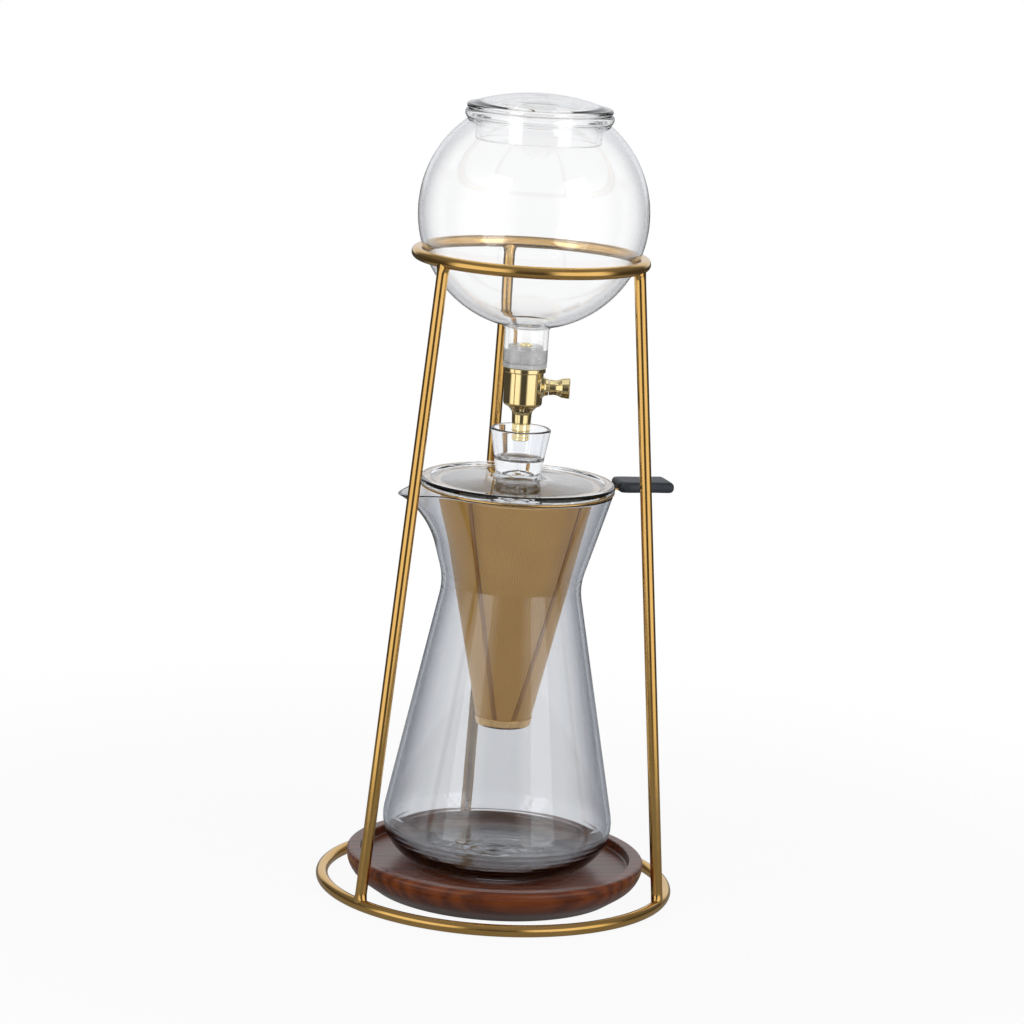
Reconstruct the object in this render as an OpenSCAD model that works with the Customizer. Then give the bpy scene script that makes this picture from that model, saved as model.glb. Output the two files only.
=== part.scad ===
// Cold drip coffee tower.
// A wire stand carries a glass water globe. A brass needle valve under the globe drips into the cup
// of a glass lid, through a double mesh cone, into a waisted glass jug on a turned wood base.
// Millimetres, +Z up. The origin is on the table, at the centre of the base ring. The filter's grip
// points along +X and the jug's pouring lip along -X.

/* [Wire stand] */
// Diameter of the wire of both rings
ring_wire_d = 6; // [5.9:0.1:8]
// Diameter of the three leg rods
leg_wire_d = 5.8; // [3:0.1:5.8]
// Radius of the base ring, to the middle of its wire
base_ring_r = 87; // [84:1:110]
// Radius of the top ring, to the middle of its wire
top_ring_r = 56; // [50:0.5:62]
// Direction of the back leg, in degrees round from the grip
back_leg_angle = 84.7; // [60:0.1:120]

/* [Wood base] */
// Diameter over the rim
tray_d = 150; // [142:1:160]
// Diameter of the flat underside, to the corner before it is rounded
tray_foot_d = 124; // [100:1:130]
// Height over the rim
tray_h = 18; // [15:0.5:26]
// Width of the rim
tray_rim_w = 7; // [5:0.5:9]
// Depth of the recess that the jug stands in
tray_recess = 4.5; // [2:0.5:8]

/* [Jug] */
// Height from foot to rim
jug_h = 191.9; // [170:0.1:230]
// Outer diameter at the mouth
jug_mouth_d = 96.4; // [92:0.2:108]
// Outer diameter where the two cones of the wall meet at the waist, before rounding
jug_waist_d = 68.3; // [66:0.1:80]
// Height of the waist above the foot
jug_waist_h = 144; // [120:1:165]
// Outer diameter where the lower cone meets the table, before its corner is rounded
jug_cone_d = 124.8; // [110:0.2:130]
// Radius of the rounded corner at the foot
jug_corner_r = 22; // [12:1:26]
// Radius of the rounding at the waist
jug_waist_r = 30; // [10:1:50]
// Wall thickness
jug_wall = 2.2; // [1.6:0.1:3]
// Thickness of the bottom
jug_floor_t = 4.6; // [3:0.2:7]
// Rise of the hollow under the bottom
jug_punt = 1.6; // [0.4:0.2:3]
// How far the middle of the pouring lip's throat lies inside the mouth's edge
lip_inset = 7.2; // [5.2:0.2:9.2]
// Radius of the lip's throat
lip_throat_r = 12; // [10:0.5:13]
// Radius of the curve by which the lip turns out
lip_flare_r = 29; // [27:1:40]
// Lean of the lip's throat from upright
lip_lean = 25; // [20:1:30]
// Slope at which the rim falls towards the lip's tip
lip_dip = 12; // [5:1:16]

/* [Filter] */
// How much wider the rim's flange is than the jug's mouth
flange_margin = 0.8; // [0:0.2:8]
// Thickness of the flange
flange_t = 0.8; // [0.6:0.1:1.6]
// Depth of the collar under the flange
collar_h = 3; // [2:0.5:6]
// Outer diameter of the mesh cone at the flange
cone_mouth_d = 78; // [70:0.5:84]
// Outer diameter of the mesh cone at its closed end
cone_end_d = 26; // [20:0.5:34]
// Length of the cone under the flange
cone_h = 121; // [90:1:150]
// Thickness of the outer mesh
outer_mesh_t = 0.4; // [0.3:0.05:0.6]
// Thickness of the inner mesh
inner_mesh_t = 0.3; // [0.2:0.05:0.5]
// Space between the two layers of mesh
mesh_space = 0.25; // [0.1:0.05:0.6]
// Height of the pressed end cup
end_cup_h = 4.5; // [3:0.5:8]
// Sheet thickness of the collar and the end cup
sheet_t = 0.5; // [0.4:0.1:0.8]
// Width of a seam strip
seam_w = 2.2; // [1.5:0.1:4]
// How far a seam strip stands out
seam_t = 0.35; // [0.2:0.05:0.6]

/* [Grip] */
// Length of the grip
grip_l = 28.5; // [25:0.5:44]
// Width of the grip
grip_w = 20; // [16:0.5:24]
// Thickness of the grip
grip_t = 5.6; // [4.4:0.1:8]
// Width of the ear that the grip is pushed over
ear_w = 10; // [6:0.5:12]
// Length of the ear inside the grip
ear_l = 18; // [10:1:22]

/* [Jug lid] */
// How much wider the lid is than the jug's mouth
lid_margin = 1; // [0:0.2:8]
// Thickness of the lid's disc
lid_t = 2.4; // [2:0.1:4]
// Height of the lid's rounded rim
lid_rim_h = 3.5; // [2.8:0.1:5]
// How much higher the disc lies under the cup than at the rim
lid_rise = 2.6; // [1.4:0.2:4]
// Outer diameter of the drip cup at its rim
cup_d = 30.3; // [27:0.1:36]
// Outer diameter of the drip cup at its foot
cup_foot_d = 22.5; // [20:0.1:26]
// Height of the cup's rim above the underside of the lid
cup_h = 29.5; // [24:0.5:40]
// Wall thickness of the cup
cup_wall = 1.9; // [1.5:0.1:2.5]
// Width of the dome that closes the cup
dome_d = 17; // [14:0.5:18]
// Height of the dome above the disc's underside
dome_h = 7; // [4:0.2:9]
// Thickness of the cup's floor over the dome
cup_floor_t = 4.4; // [1.5:0.1:6]
// Diameter of the drip hole
drip_hole_d = 2; // [1.4:0.2:3]

/* [Water globe] */
// How much larger the globe's outer radius is than the top ring's
globe_over_ring = 1; // [-1:0.5:8]
// Wall thickness of the globe
globe_wall = 2; // [1.5:0.1:3]
// Outer diameter of the neck
neck_d = 70.6; // [60:0.2:74]
// Outer diameter of the bead round the neck
neck_bead_d = 73; // [62:0.2:76]
// Height of the neck above the globe, with its bead
neck_h = 5.4; // [4:0.2:9]
// Outer diameter of the outlet stem
stem_d = 22; // [20:0.5:26]
// Length of the stem under the globe
stem_l = 18; // [16:0.5:30]

/* [Globe lid] */
// Diameter of the lid's rim
cap_d = 71.6; // [62:0.2:76]
// Height of the rim
cap_rim_h = 2.6; // [2.3:0.1:5]
// Height of the dome over the rim
cap_dome_h = 5.8; // [3:0.2:10]
// Diameter of the skirt
skirt_d = 62; // [52:0.5:64]
// Depth of the skirt under the rim
skirt_h = 15; // [8:0.5:20]
// Wall thickness of the lid
cap_wall = 2; // [1.6:0.1:3]

/* [Needle valve] */
// How deep the nozzle dips into the drip cup
nozzle_dip = 6; // [1:0.5:8]
// Length of the nozzle under the body
nozzle_l = 13; // [10:0.5:18]
// Diameter of the nozzle at the body
nozzle_d = 9.8; // [8.6:0.1:12]
// Diameter of the nozzle's end
nozzle_end_d = 8.4; // [7:0.1:10]
// Bore of the nozzle
nozzle_bore = 3.4; // [2.5:0.1:4.2]
// Diameter of the body
body_d = 19.3; // [18:0.1:22]
// Height of the body with its flange
body_h = 23.6; // [20:0.1:27]
// Diameter of the flange at the top of the body
body_flange_d = 21.1; // [20:0.1:24]
// Thickness of that flange
body_flange_t = 2.4; // [1.5:0.1:3]
// Height of the cove between body and nozzle
cove_h = 3.8; // [3:0.1:6]
// Height of the needle's axis above the bottom of the body
needle_h = 14.1; // [10.5:0.1:15]
// Direction of the knob, in degrees round from the grip
knob_angle = -18; // [-60:1:60]
// Outer diameter of the inlet tail
tail_d = 6.7; // [5.6:0.1:7.6]
// Bore of the inlet tail
tail_bore = 3.4; // [2.4:0.1:4]
// Diameter of the thread of tail and nozzle spigot
joint_thread_d = 6; // [5.4:0.1:6.6]
// Diameter of the ways drilled through the body
way_d = 1.8; // [1.2:0.1:2]
// Diameter of the seat's orifice
seat_d = 1.4; // [1:0.1:1.8]
// Diameter of the chamber that the needle slides in
chamber_d = 4.4; // [4:0.1:5]
// Diameter of the needle's thread
needle_thread_d = 5; // [4.8:0.1:6]
// Advance of the needle in one turn of the knob
needle_pitch = 0.5; // [0.35:0.05:0.75]
// Turns of the knob from closed to open
knob_turns = 3; // [1:1:4]

/* [Valve knob] */
// Diameter of the knob's neck where it meets the boss
knob_neck_d = 8; // [7:0.1:9]
// Diameter of the neck at its waist
knob_waist_d = 7; // [6.4:0.1:8.4]
// Diameter of the knob's head
knob_head_d = 10.3; // [8:0.1:12]
// Length of the neck
knob_neck_l = 6.2; // [4:0.1:9]
// Length of the head
knob_head_l = 4.1; // [2.5:0.1:6]
// How far the boss stands out from the body's face
boss_out = 2.75; // [2.2:0.05:5.4]

/* [Stopper] */
// Thickness of the stopper's flange
stopper_flange_t = 2.35; // [1.5:0.05:4]
// Length of the plug inside the stem
stopper_plug_h = 8.5; // [6:0.5:14]

/* [Clearances] */
// Gap under a piece that only rests on another
rest_gap = 0.1; // [0.05:0.05:0.3]
// Gap between the globe and the ring that it sits in
cradle_gap = 0.1; // [0.05:0.05:0.3]
// Radial gap of two pieces that are pushed or screwed together
push_gap = 0.03; // [0.02:0.01:0.06]
// Radial gap of the needle in the body
running_gap = 0.05; // [0.03:0.01:0.08]

/* [Hidden] */
$fn = 96;

gold = "#c8963c";
brass = "#d8b860";
glass = [0.80, 0.86, 0.90, 0.35];
wood = "#7a4426";
over = 1;                // how far a cutter runs past the face that it opens
corner_steps = 6;        // straight pieces in a small rounded corner
sweep_steps = 16;        // straight pieces in a long rounded corner

// Widths that follow another piece
flange_d = jug_mouth_d + flange_margin;
lid_d = jug_mouth_d + lid_margin;
globe_r = top_ring_r + globe_over_ring;

boss_reach = body_d / 2 + boss_out;

// Heights, from the table up: each piece stands on the one before it
tray_floor_z = tray_h - tray_recess;
jug_foot_z = tray_floor_z + rest_gap;
jug_rim_z = jug_foot_z + jug_h;
flange_z = jug_rim_z + rest_gap;
cone_top_z = flange_z;
cone_end_z = cone_top_z - cone_h;
lid_z = flange_z + flange_t + rest_gap;
cup_rim_z = lid_z + cup_h;
nozzle_end_z = cup_rim_z - nozzle_dip;
body_z = nozzle_end_z + nozzle_l;
needle_z = body_z + needle_h;
body_top_z = body_z + body_h;
stopper_z = body_top_z + push_gap;
stem_end_z = stopper_z + stopper_flange_t + push_gap;
globe_z = stem_end_z + stem_l + sqrt(pow(globe_r, 2) - pow(stem_d / 2, 2));
top_ring_z = globe_z - sqrt(pow(globe_r + ring_wire_d / 2 + cradle_gap, 2) - pow(top_ring_r, 2));
base_ring_z = ring_wire_d / 2;
neck_foot_z = globe_z + sqrt(pow(globe_r, 2) - pow(neck_d / 2, 2));
neck_top_z = neck_foot_z + neck_h;
cap_z = neck_top_z + rest_gap;

// ---------------------------------------------------------------- paths with rounded corners

function flat(p) = [p.x, p.y];
function unit(a, b) = (b - a) / norm(b - a);
function half_turn(t) = t > 180 ? t - 360 : t < -180 ? t + 360 : t;

// Points of the arc that rounds the corner p between a and b
function corner_arc(a, p, b, r, steps) =
    let (
        u = unit(p, a),
        v = unit(p, b),
        half = acos(u * v) / 2,
        middle = p + (u + v) / norm(u + v) * r / sin(half),
        from = p + u * r / tan(half) - middle,
        to = p + v * r / tan(half) - middle,
        start = atan2(from.y, from.x),
        sweep = half_turn(atan2(to.y, to.x) - start)
    )
    [for (k = [0:steps]) middle + r * [cos(start + sweep * k / steps), sin(start + sweep * k / steps)]];

// A path of corners [x, y, radius, steps] as plain points; a corner with no radius stays sharp
function rounded(path) = [
    for (i = [0:len(path) - 1])
        let (
            n = len(path),
            c = path[i],
            before = flat(path[(i + n - 1) % n]),
            after = flat(path[(i + 1) % n]),
            steps = is_undef(c[3]) ? corner_steps : c[3]
        )
        if (is_undef(c[2]) || c[2] == 0) flat(c)
        else each corner_arc(before, flat(c), after, c[2], steps)
];

// The same path moved d to its left, with its corner radii following
function beside(path, d) = [
    for (i = [0:len(path) - 1])
        let (
            last = len(path) - 1,
            p = flat(path[i]),
            u = i > 0 ? unit(flat(path[i - 1]), p) : unit(p, flat(path[i + 1])),
            v = i < last ? unit(p, flat(path[i + 1])) : u,
            nu = [-u.y, u.x],
            nv = [-v.y, v.x],
            q = p + d * (nu + nv) / (1 + nu * nv),
            r = is_undef(path[i][2]) ? 0 : path[i][2]
        )
        [q.x, q.y, r == 0 ? 0 : max(r - d * sign(cross(u, v)), 0.2), path[i][3]]
];

function backwards(path) = [for (i = [len(path) - 1:-1:0]) path[i]];

// ---------------------------------------------------------------- small shared shapes

module torus(r, wire_r) {
    rotate_extrude() translate([r, 0]) circle(wire_r);
}

// Turned round the Z axis: keeps the side of the axis that rotate_extrude needs
module turned(points) {
    rotate_extrude() polygon(points);
}

// A straight rod between two points
module rod(a, b, d) {
    way = b - a;
    translate(a)
        rotate([0, acos(way.z / norm(way)), atan2(way.y, way.x)])
            cylinder(h = norm(way), d = d);
}

function on_ring(r, angle, z) = [r * cos(angle), r * sin(angle), z];

// ---------------------------------------------------------------- wire stand

module base_ring_solid() {
    translate([0, 0, base_ring_z]) torus(base_ring_r, ring_wire_d / 2);
}

module top_ring_solid() {
    translate([0, 0, top_ring_z]) torus(top_ring_r, ring_wire_d / 2);
}

// A leg runs from wire to wire and is coped to both rings
module leg(angle) {
    color(gold) difference() {
        rod(on_ring(base_ring_r, angle, base_ring_z), on_ring(top_ring_r, angle, top_ring_z), leg_wire_d);
        base_ring_solid();
        top_ring_solid();
    }
}

module base_ring() { color(gold) base_ring_solid(); }
module top_ring() { color(gold) top_ring_solid(); }
module leg_back() { leg(back_leg_angle); }
module leg_front_left() { leg(back_leg_angle + 120); }
module leg_front_right() { leg(back_leg_angle + 240); }

// ---------------------------------------------------------------- wood base

tray_side_r = 13;        // rounding of the side, which turns in to the foot like a bowl
tray_edge_r = 2.2;       // rounding of the rim's outer edge
tray_side_h = 9;         // height at which the turned-in side would meet the upright rim
tray_foot_r = 2;         // rounding under the foot
tray_inner_r = 1;        // rounding of the rim's inner edge
tray_step_w = 0.6;       // lean of the recess's wall
tray_step_r = 1.2;       // rounding where that wall meets the recess's floor

module wood_base() {
    r = tray_d / 2;
    color(wood) turned(rounded([
        [0, 0],
        [tray_foot_d / 2, 0, tray_foot_r],
        [r, tray_side_h, tray_side_r, sweep_steps / 2],
        [r, tray_h, tray_edge_r],
        [r - tray_rim_w, tray_h, tray_inner_r],
        [r - tray_rim_w - tray_step_w, tray_floor_z, tray_step_r],
        [0, tray_floor_z]
    ]));
}

// ---------------------------------------------------------------- jug

jug_cone_r = jug_cone_d / 2;
jug_waist_z = jug_foot_z + jug_waist_h;
jug_flare = (jug_mouth_d - jug_waist_d) / 2 / (jug_rim_z - jug_waist_z);
foot_ring_r = 30;        // where the hollow under the bottom starts
punt_slope_w = 4;        // width of the first slope of that hollow
punt_slope = 0.3;        // share of the hollow's rise that this slope takes
floor_rise = 0.5;        // rise of the inner floor, as a share of the hollow's
floor_flat_w = 6;        // how far inside the foot ring the inner floor starts to rise
floor_corner_in = 1.2;   // how far the inner corner lies inside the wall's own path
floor_corner_k = 0.8;    // rounding of that corner, as a share of the path's
lip_x = jug_mouth_d / 2 - lip_inset;
lip_throat_s = -15.5;    // where the throat turns out, along the lip's axis from the rim
lip_root_s = -38;        // where the lip's axis starts, inside the jug's wall
lip_tip_s = 11;          // where it ends, past the rim
lip_dip_r = jug_mouth_d / 2 - 4.2; // radius at which the rim starts to fall to the lip's tip

jug_wall_path = [
    [foot_ring_r, jug_foot_z],
    [jug_cone_r, jug_foot_z, jug_corner_r, sweep_steps],
    [jug_waist_d / 2, jug_waist_z, jug_waist_r, sweep_steps],
    [jug_mouth_d / 2, jug_rim_z]
];

// The path of a wall, run on past the rim so that the rim can be cut level
function past_rim(path, up) = [
    for (i = [0:len(path) - 1])
        i < len(path) - 1 ? path[i] : [path[i].x + jug_flare * up, path[i].y + up]
];

// Pulled lip: a flaring horn that leans out of the mouth, drawn `inset` inside its outer face
module lip_horn(inset) {
    r = lip_throat_r - inset;
    translate([-lip_x, 0, jug_rim_z]) rotate([0, -lip_lean, 0]) rotate_extrude() {
        translate([0, lip_root_s]) square([r, lip_throat_s - lip_root_s]);
        difference() {
            translate([0, lip_throat_s]) square([lip_throat_r + lip_flare_r, lip_tip_s - lip_throat_s]);
            translate([lip_throat_r + lip_flare_r, lip_throat_s]) circle(lip_flare_r + inset);
        }
    }
}

module jug() {
    inner = beside(jug_wall_path, jug_wall);
    floor_z = jug_foot_z + jug_floor_t;
    color(glass) difference() {
        union() {
            turned(concat(
                [
                    [0, jug_foot_z + jug_punt],
                    [foot_ring_r - punt_slope_w, jug_foot_z + jug_punt * punt_slope]
                ],
                rounded(past_rim(jug_wall_path, over)),
                [[0, jug_rim_z + over]]
            ));
            lip_horn(0);
        }
        turned(concat(
            [[0, floor_z + jug_punt * floor_rise]],
            rounded([
                [foot_ring_r - floor_flat_w, floor_z],
                [inner[1].x - floor_corner_in, floor_z, inner[1][2] * floor_corner_k, sweep_steps],
                [inner[2].x, inner[2].y, inner[2][2], sweep_steps],
                [inner[3].x + 2 * jug_flare * over, jug_rim_z + 2 * over],
                [0, jug_rim_z + 2 * over]
            ])
        ));
        lip_horn(jug_wall);
        translate([0, 0, jug_rim_z]) cylinder(h = lip_flare_r, r = jug_mouth_d);
        translate([-lip_dip_r, 0, jug_rim_z])
            rotate([0, -lip_dip, 0])
                translate([-jug_mouth_d, -jug_mouth_d / 2, 0])
                    cube([jug_mouth_d, jug_mouth_d, lip_flare_r]);
    }
}

// ---------------------------------------------------------------- filter

cone_slope = (cone_mouth_d - cone_end_d) / 2 / cone_h;

// Outer radius of the mesh cone at height z
function cone_r(z) = cone_end_d / 2 + (z - cone_end_z) * cone_slope;

// A conical sheet between two heights, `out` outside the mesh cone's face and t thick
module cone_sheet(low_z, high_z, out, t) {
    turned([
        [cone_r(low_z) + out - t, low_z],
        [cone_r(low_z) + out, low_z],
        [cone_r(high_z) + out, high_z],
        [cone_r(high_z) + out - t, high_z]
    ]);
}

end_cup_r = 1.6;         // rounding of the end cup's edge; the mesh stands above it
mesh_low_z = cone_end_z + end_cup_r;
mesh_high_z = cone_top_z - push_gap;
flange_cover = 0.4;      // how far the flange reaches in past the inner mesh
flange_hole_r = cone_mouth_d / 2 - outer_mesh_t - mesh_space - inner_mesh_t - flange_cover;
ear_end_x = flange_d / 2 + 1 + ear_l;
ear_root = 3;            // how far the ear's root reaches into the flange, and spreads each way
ear_neck = 2;            // distance from the flange at which the ear has its own width
ear_neck_r = 2;          // rounding there
ear_corner_r = 1.5;      // rounding of the ear's end

// Stamped rim: flange, collar round the mesh and the ear for the grip, in one sheet
module filter_rim() {
    color(gold) {
        difference() {
            union() {
                translate([0, 0, flange_z]) cylinder(h = flange_t, d = flange_d);
                translate([0, 0, flange_z]) linear_extrude(flange_t) polygon(rounded([
                    [flange_d / 2 - ear_root, -ear_w / 2 - ear_root],
                    [flange_d / 2 + ear_neck, -ear_w / 2, ear_neck_r],
                    [ear_end_x, -ear_w / 2, ear_corner_r],
                    [ear_end_x, ear_w / 2, ear_corner_r],
                    [flange_d / 2 + ear_neck, ear_w / 2, ear_neck_r],
                    [flange_d / 2 - ear_root, ear_w / 2 + ear_root]
                ]));
                cone_sheet(flange_z - collar_h, flange_z + flange_t / 2, push_gap + sheet_t, sheet_t);
            }
            translate([0, 0, flange_z - over]) cylinder(h = flange_t + 2 * over, r = flange_hole_r);
        }
    }
}

module filter_outer_mesh() {
    color("#b08848") cone_sheet(mesh_low_z, mesh_high_z, 0, outer_mesh_t);
}

module filter_inner_mesh() {
    color("#8a6a3a") cone_sheet(mesh_low_z, mesh_high_z, -outer_mesh_t - mesh_space, inner_mesh_t);
}

// Pressed cup that closes the cone: a floor with a rounded edge and a wall up the mesh
module filter_base() {
    wall = [
        [0, cone_end_z],
        [cone_r(cone_end_z) + push_gap + sheet_t, cone_end_z, end_cup_r],
        [cone_r(cone_end_z + end_cup_h) + push_gap + sheet_t, cone_end_z + end_cup_h]
    ];
    color(gold) turned(concat(rounded(wall), backwards(rounded(beside(wall, sheet_t)))));
}

seam_runs = [[226, 4.2], [293, -7.6]]; // direction and slant of each strip
seam_cross = 0.325;      // height at which a strip crosses its own direction, as a share of the cone's
seam_end_gap = 0.5;      // distance of the strips' ends from the end cup and the collar

// Two lap strips, welded down the outer mesh along the slanting edges of its sheet
module filter_seams() {
    low_z = cone_end_z + end_cup_h + seam_end_gap;
    high_z = cone_top_z - collar_h - seam_end_gap;
    color("#6e4a24") for (run = seam_runs)
        intersection() {
            cone_sheet(low_z, high_z, push_gap + seam_t, seam_t);
            rotate([0, 0, run[0]]) translate([0, 0, cone_end_z + cone_h * seam_cross])
                rotate([run[1], 0, 0]) translate([0, -seam_w / 2, -cone_h])
                    cube([cone_mouth_d, seam_w, 2 * cone_h]);
        }
}

grip_gap = 2.4;          // distance of the grip from the flange
grip_drop = 1;           // how far the grip reaches under the flange
grip_nose = 0.55;        // width at the flange, as a share of the grip's width
grip_waist = 0.84;       // width at the waist, likewise
grip_shoulder_x = 0.2;   // where the grip first has its full width, as a share of its length
grip_waist_x = 0.5;      // where its waist is, likewise
grip_corner_r = 3;       // roundings of the outline from above: corners, shoulders and waist
grip_shoulder_r = 6;
grip_waist_r = 20;
grip_end_low_r = 1.8;    // roundings of the outline from the side
grip_end_high_r = 2.4;
grip_front_r = 1.4;
grip_under_r = 1.6;      // roundings of the outline from the end
grip_top_r = 2.2;
slot_mouth = 1.6;        // how much wider and how deep the mouth of the ear's slot is
grip_start_x = flange_d / 2 + grip_gap;
grip_low_z = flange_z - grip_drop;

// The grip is the common part of three outlines: from above, from the side and from the end
module handle_grip() {
    x0 = grip_start_x;
    x1 = grip_start_x + grip_l;
    w = grip_w / 2;
    color("#2c3038") difference() {
        intersection() {
            translate([0, 0, grip_low_z]) linear_extrude(grip_t) polygon(rounded([
                [x0, 0],
                [x0, -w * grip_nose, grip_corner_r],
                [x0 + grip_l * grip_shoulder_x, -w, grip_shoulder_r],
                [x0 + grip_l * grip_waist_x, -w * grip_waist, grip_waist_r],
                [x1, -w, grip_corner_r],
                [x1, w, grip_corner_r],
                [x0 + grip_l * grip_waist_x, w * grip_waist, grip_waist_r],
                [x0 + grip_l * grip_shoulder_x, w, grip_shoulder_r],
                [x0, w * grip_nose, grip_corner_r]
            ]));
            translate([0, w, 0]) rotate([90, 0, 0]) linear_extrude(2 * w) polygon(rounded([
                [(x0 + x1) / 2, grip_low_z],
                [x1, grip_low_z, grip_end_low_r],
                [x1, grip_low_z + grip_t, grip_end_high_r],
                [x0, grip_low_z + grip_t, grip_end_high_r],
                [x0, grip_low_z, grip_front_r]
            ]));
            translate([x0, 0, 0]) rotate([90, 0, 90]) linear_extrude(grip_l) polygon(rounded([
                [0, grip_low_z],
                [w, grip_low_z, grip_under_r],
                [w, grip_low_z + grip_t, grip_top_r],
                [-w, grip_low_z + grip_t, grip_top_r],
                [-w, grip_low_z, grip_under_r]
            ]));
        }
        translate([x0 - over, -ear_w / 2 - push_gap, flange_z - push_gap])
            cube([ear_end_x - x0 + over + push_gap, ear_w + 2 * push_gap, flange_t + 2 * push_gap]);
        translate([x0 - over, -ear_w / 2 - slot_mouth, flange_z - push_gap])
            cube([over + slot_mouth, ear_w + 2 * slot_mouth, flange_t + 2 * push_gap]);
    }
}

// ---------------------------------------------------------------- jug lid with its drip cup

lid_under_r = 1.2;       // rounding of the lid's lower edge
lid_bead_w = 5;          // width of its raised rim
lid_bead_slope_w = 1.5;  // width over which the rim falls to the disc
lid_bead_r = 1.6;        // rounding of the rim
lid_step_r = 2;          // rounding where the rim meets the disc
cup_root_w = 1;          // width of the cup's flared root on the disc
cup_root_h = 2;          // height of that root
cup_root_r = 2;          // rounding where the root turns into the cup's wall
cup_lip_r = 0.9;         // rounding of the cup's rim
cup_floor_r = 2;         // rounding inside the cup, where its floor meets the wall
cup_floor_rise = 0.5;    // rise of the cup's floor to its middle
disc_curve_r = 30;       // rounding where the disc starts to rise from its seat
disc_seat_w = 9;         // how far the disc's seat reaches in from the lid's edge

module jug_lid() {
    rim_r = lid_d / 2;
    under_z = lid_z + lid_rise;
    top_z = under_z + lid_t;
    foot_r = cup_foot_d / 2;
    dome_r = (pow(dome_d / 2, 2) + pow(dome_h, 2)) / 2 / dome_h;
    dome_middle_z = under_z + dome_h - dome_r;
    floor_z = under_z + dome_h + cup_floor_t;
    cup_slope = (cup_d / 2 - foot_r) / (cup_rim_z - top_z - cup_root_h);
    floor_r = foot_r - cup_wall + cup_slope * (floor_z - top_z - cup_root_h);
    color(glass) difference() {
        turned(rounded([
            [0, under_z],
            [dome_d / 2 + cup_root_w, under_z, disc_curve_r / 2, sweep_steps],
            [rim_r - disc_seat_w, lid_z, disc_curve_r, sweep_steps],
            [rim_r, lid_z, lid_under_r],
            [rim_r, lid_z + lid_rim_h, lid_bead_r],
            [rim_r - lid_bead_w, lid_z + lid_rim_h, lid_bead_r],
            [rim_r - lid_bead_w - lid_bead_slope_w, lid_z + lid_t, lid_step_r],
            [rim_r - disc_seat_w, lid_z + lid_t, disc_curve_r / 4, sweep_steps],
            [foot_r + cup_root_w + lid_rise, top_z, lid_rise, sweep_steps],
            [foot_r + cup_root_w, top_z, cup_root_w],
            [foot_r, top_z + cup_root_h, cup_root_r],
            [cup_d / 2, cup_rim_z, cup_lip_r],
            [cup_d / 2 - cup_wall, cup_rim_z, cup_lip_r],
            [floor_r, floor_z - cup_floor_rise, cup_floor_r],
            [0, floor_z]
        ]));
        intersection() {
            translate([0, 0, dome_middle_z]) sphere(dome_r);
            translate([0, 0, lid_z - over]) cylinder(h = dome_h + 2 * over, r = dome_r);
        }
        translate([0, 0, lid_z]) cylinder(h = cup_h, d = drip_hole_d);
    }
}

// ---------------------------------------------------------------- water globe

stem_fillet = 3;         // rounding outside, where the stem leaves the ball
neck_root = 3;           // how far the neck's foot is sunk into the ball
neck_bead_h = 4;         // height of the bead round the neck
neck_bead_r = 1.4;       // rounding of the bead
bead_under_r = 0.8;      // rounding under the bead

// Half outline of the globe, moved in by `inset`: ball, neck and stem, open at both ends by `past`
module globe_outline(inset, past) {
    neck_r = neck_d / 2 - inset;
    stem_r = stem_d / 2 - inset;
    ball_r = globe_r - inset;
    fillet = stem_fillet + inset;
    flare_r = stem_r + 1.5 * fillet;
    root_z = globe_z - sqrt(pow(ball_r, 2) - pow(stem_r, 2));
    flare_z = globe_z - sqrt(pow(ball_r, 2) - pow(flare_r, 2));
    intersection() {
        translate([0, globe_z]) circle(ball_r);
        translate([0, globe_z - globe_r]) square([globe_r, neck_top_z - globe_z + globe_r]);
    }
    translate([0, globe_z]) square([neck_r, neck_top_z - globe_z + past]);
    translate([0, stem_end_z - past]) square([stem_r, globe_z - stem_end_z]);
    polygon(rounded([
        [0, root_z - 2 * fillet],
        [stem_r, root_z - 2 * fillet],
        [stem_r, root_z, fillet],
        [flare_r, flare_z],
        [flare_r, flare_z + fillet],
        [0, flare_z + fillet]
    ]));
}

module globe() {
    bead_r = neck_bead_d / 2;
    color(glass) rotate_extrude() difference() {
        union() {
            globe_outline(0, 0);
            polygon(rounded([
                [0, neck_foot_z - neck_root],
                [neck_d / 2, neck_foot_z - neck_root],
                [neck_d / 2, neck_top_z - neck_bead_h, bead_under_r],
                [bead_r, neck_top_z - neck_bead_h, neck_bead_r],
                [bead_r, neck_top_z, neck_bead_r],
                [0, neck_top_z]
            ]));
        }
        globe_outline(globe_wall, over);
    }
}

cap_step_w = 2;          // how far the dome's foot lies inside the rim
cap_edge_r = 1.1;        // rounding of the rim's edges
cap_seat_r = 1;          // rounding between the rim and the skirt
skirt_end_r = 0.9;       // rounding of the skirt's end

// Half disc of the ball that the dome is cut from, moved in by `inset`, above height z and within r
module dome_outline(inset, z, r) {
    foot_r = cap_d / 2 - cap_step_w;
    ball_r = (pow(foot_r, 2) + pow(cap_dome_h, 2)) / 2 / cap_dome_h;
    intersection() {
        translate([0, cap_z + cap_rim_h + cap_dome_h - ball_r]) circle(ball_r - inset);
        translate([0, z]) square([r, cap_rim_h + 2 * cap_dome_h]);
    }
}

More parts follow.
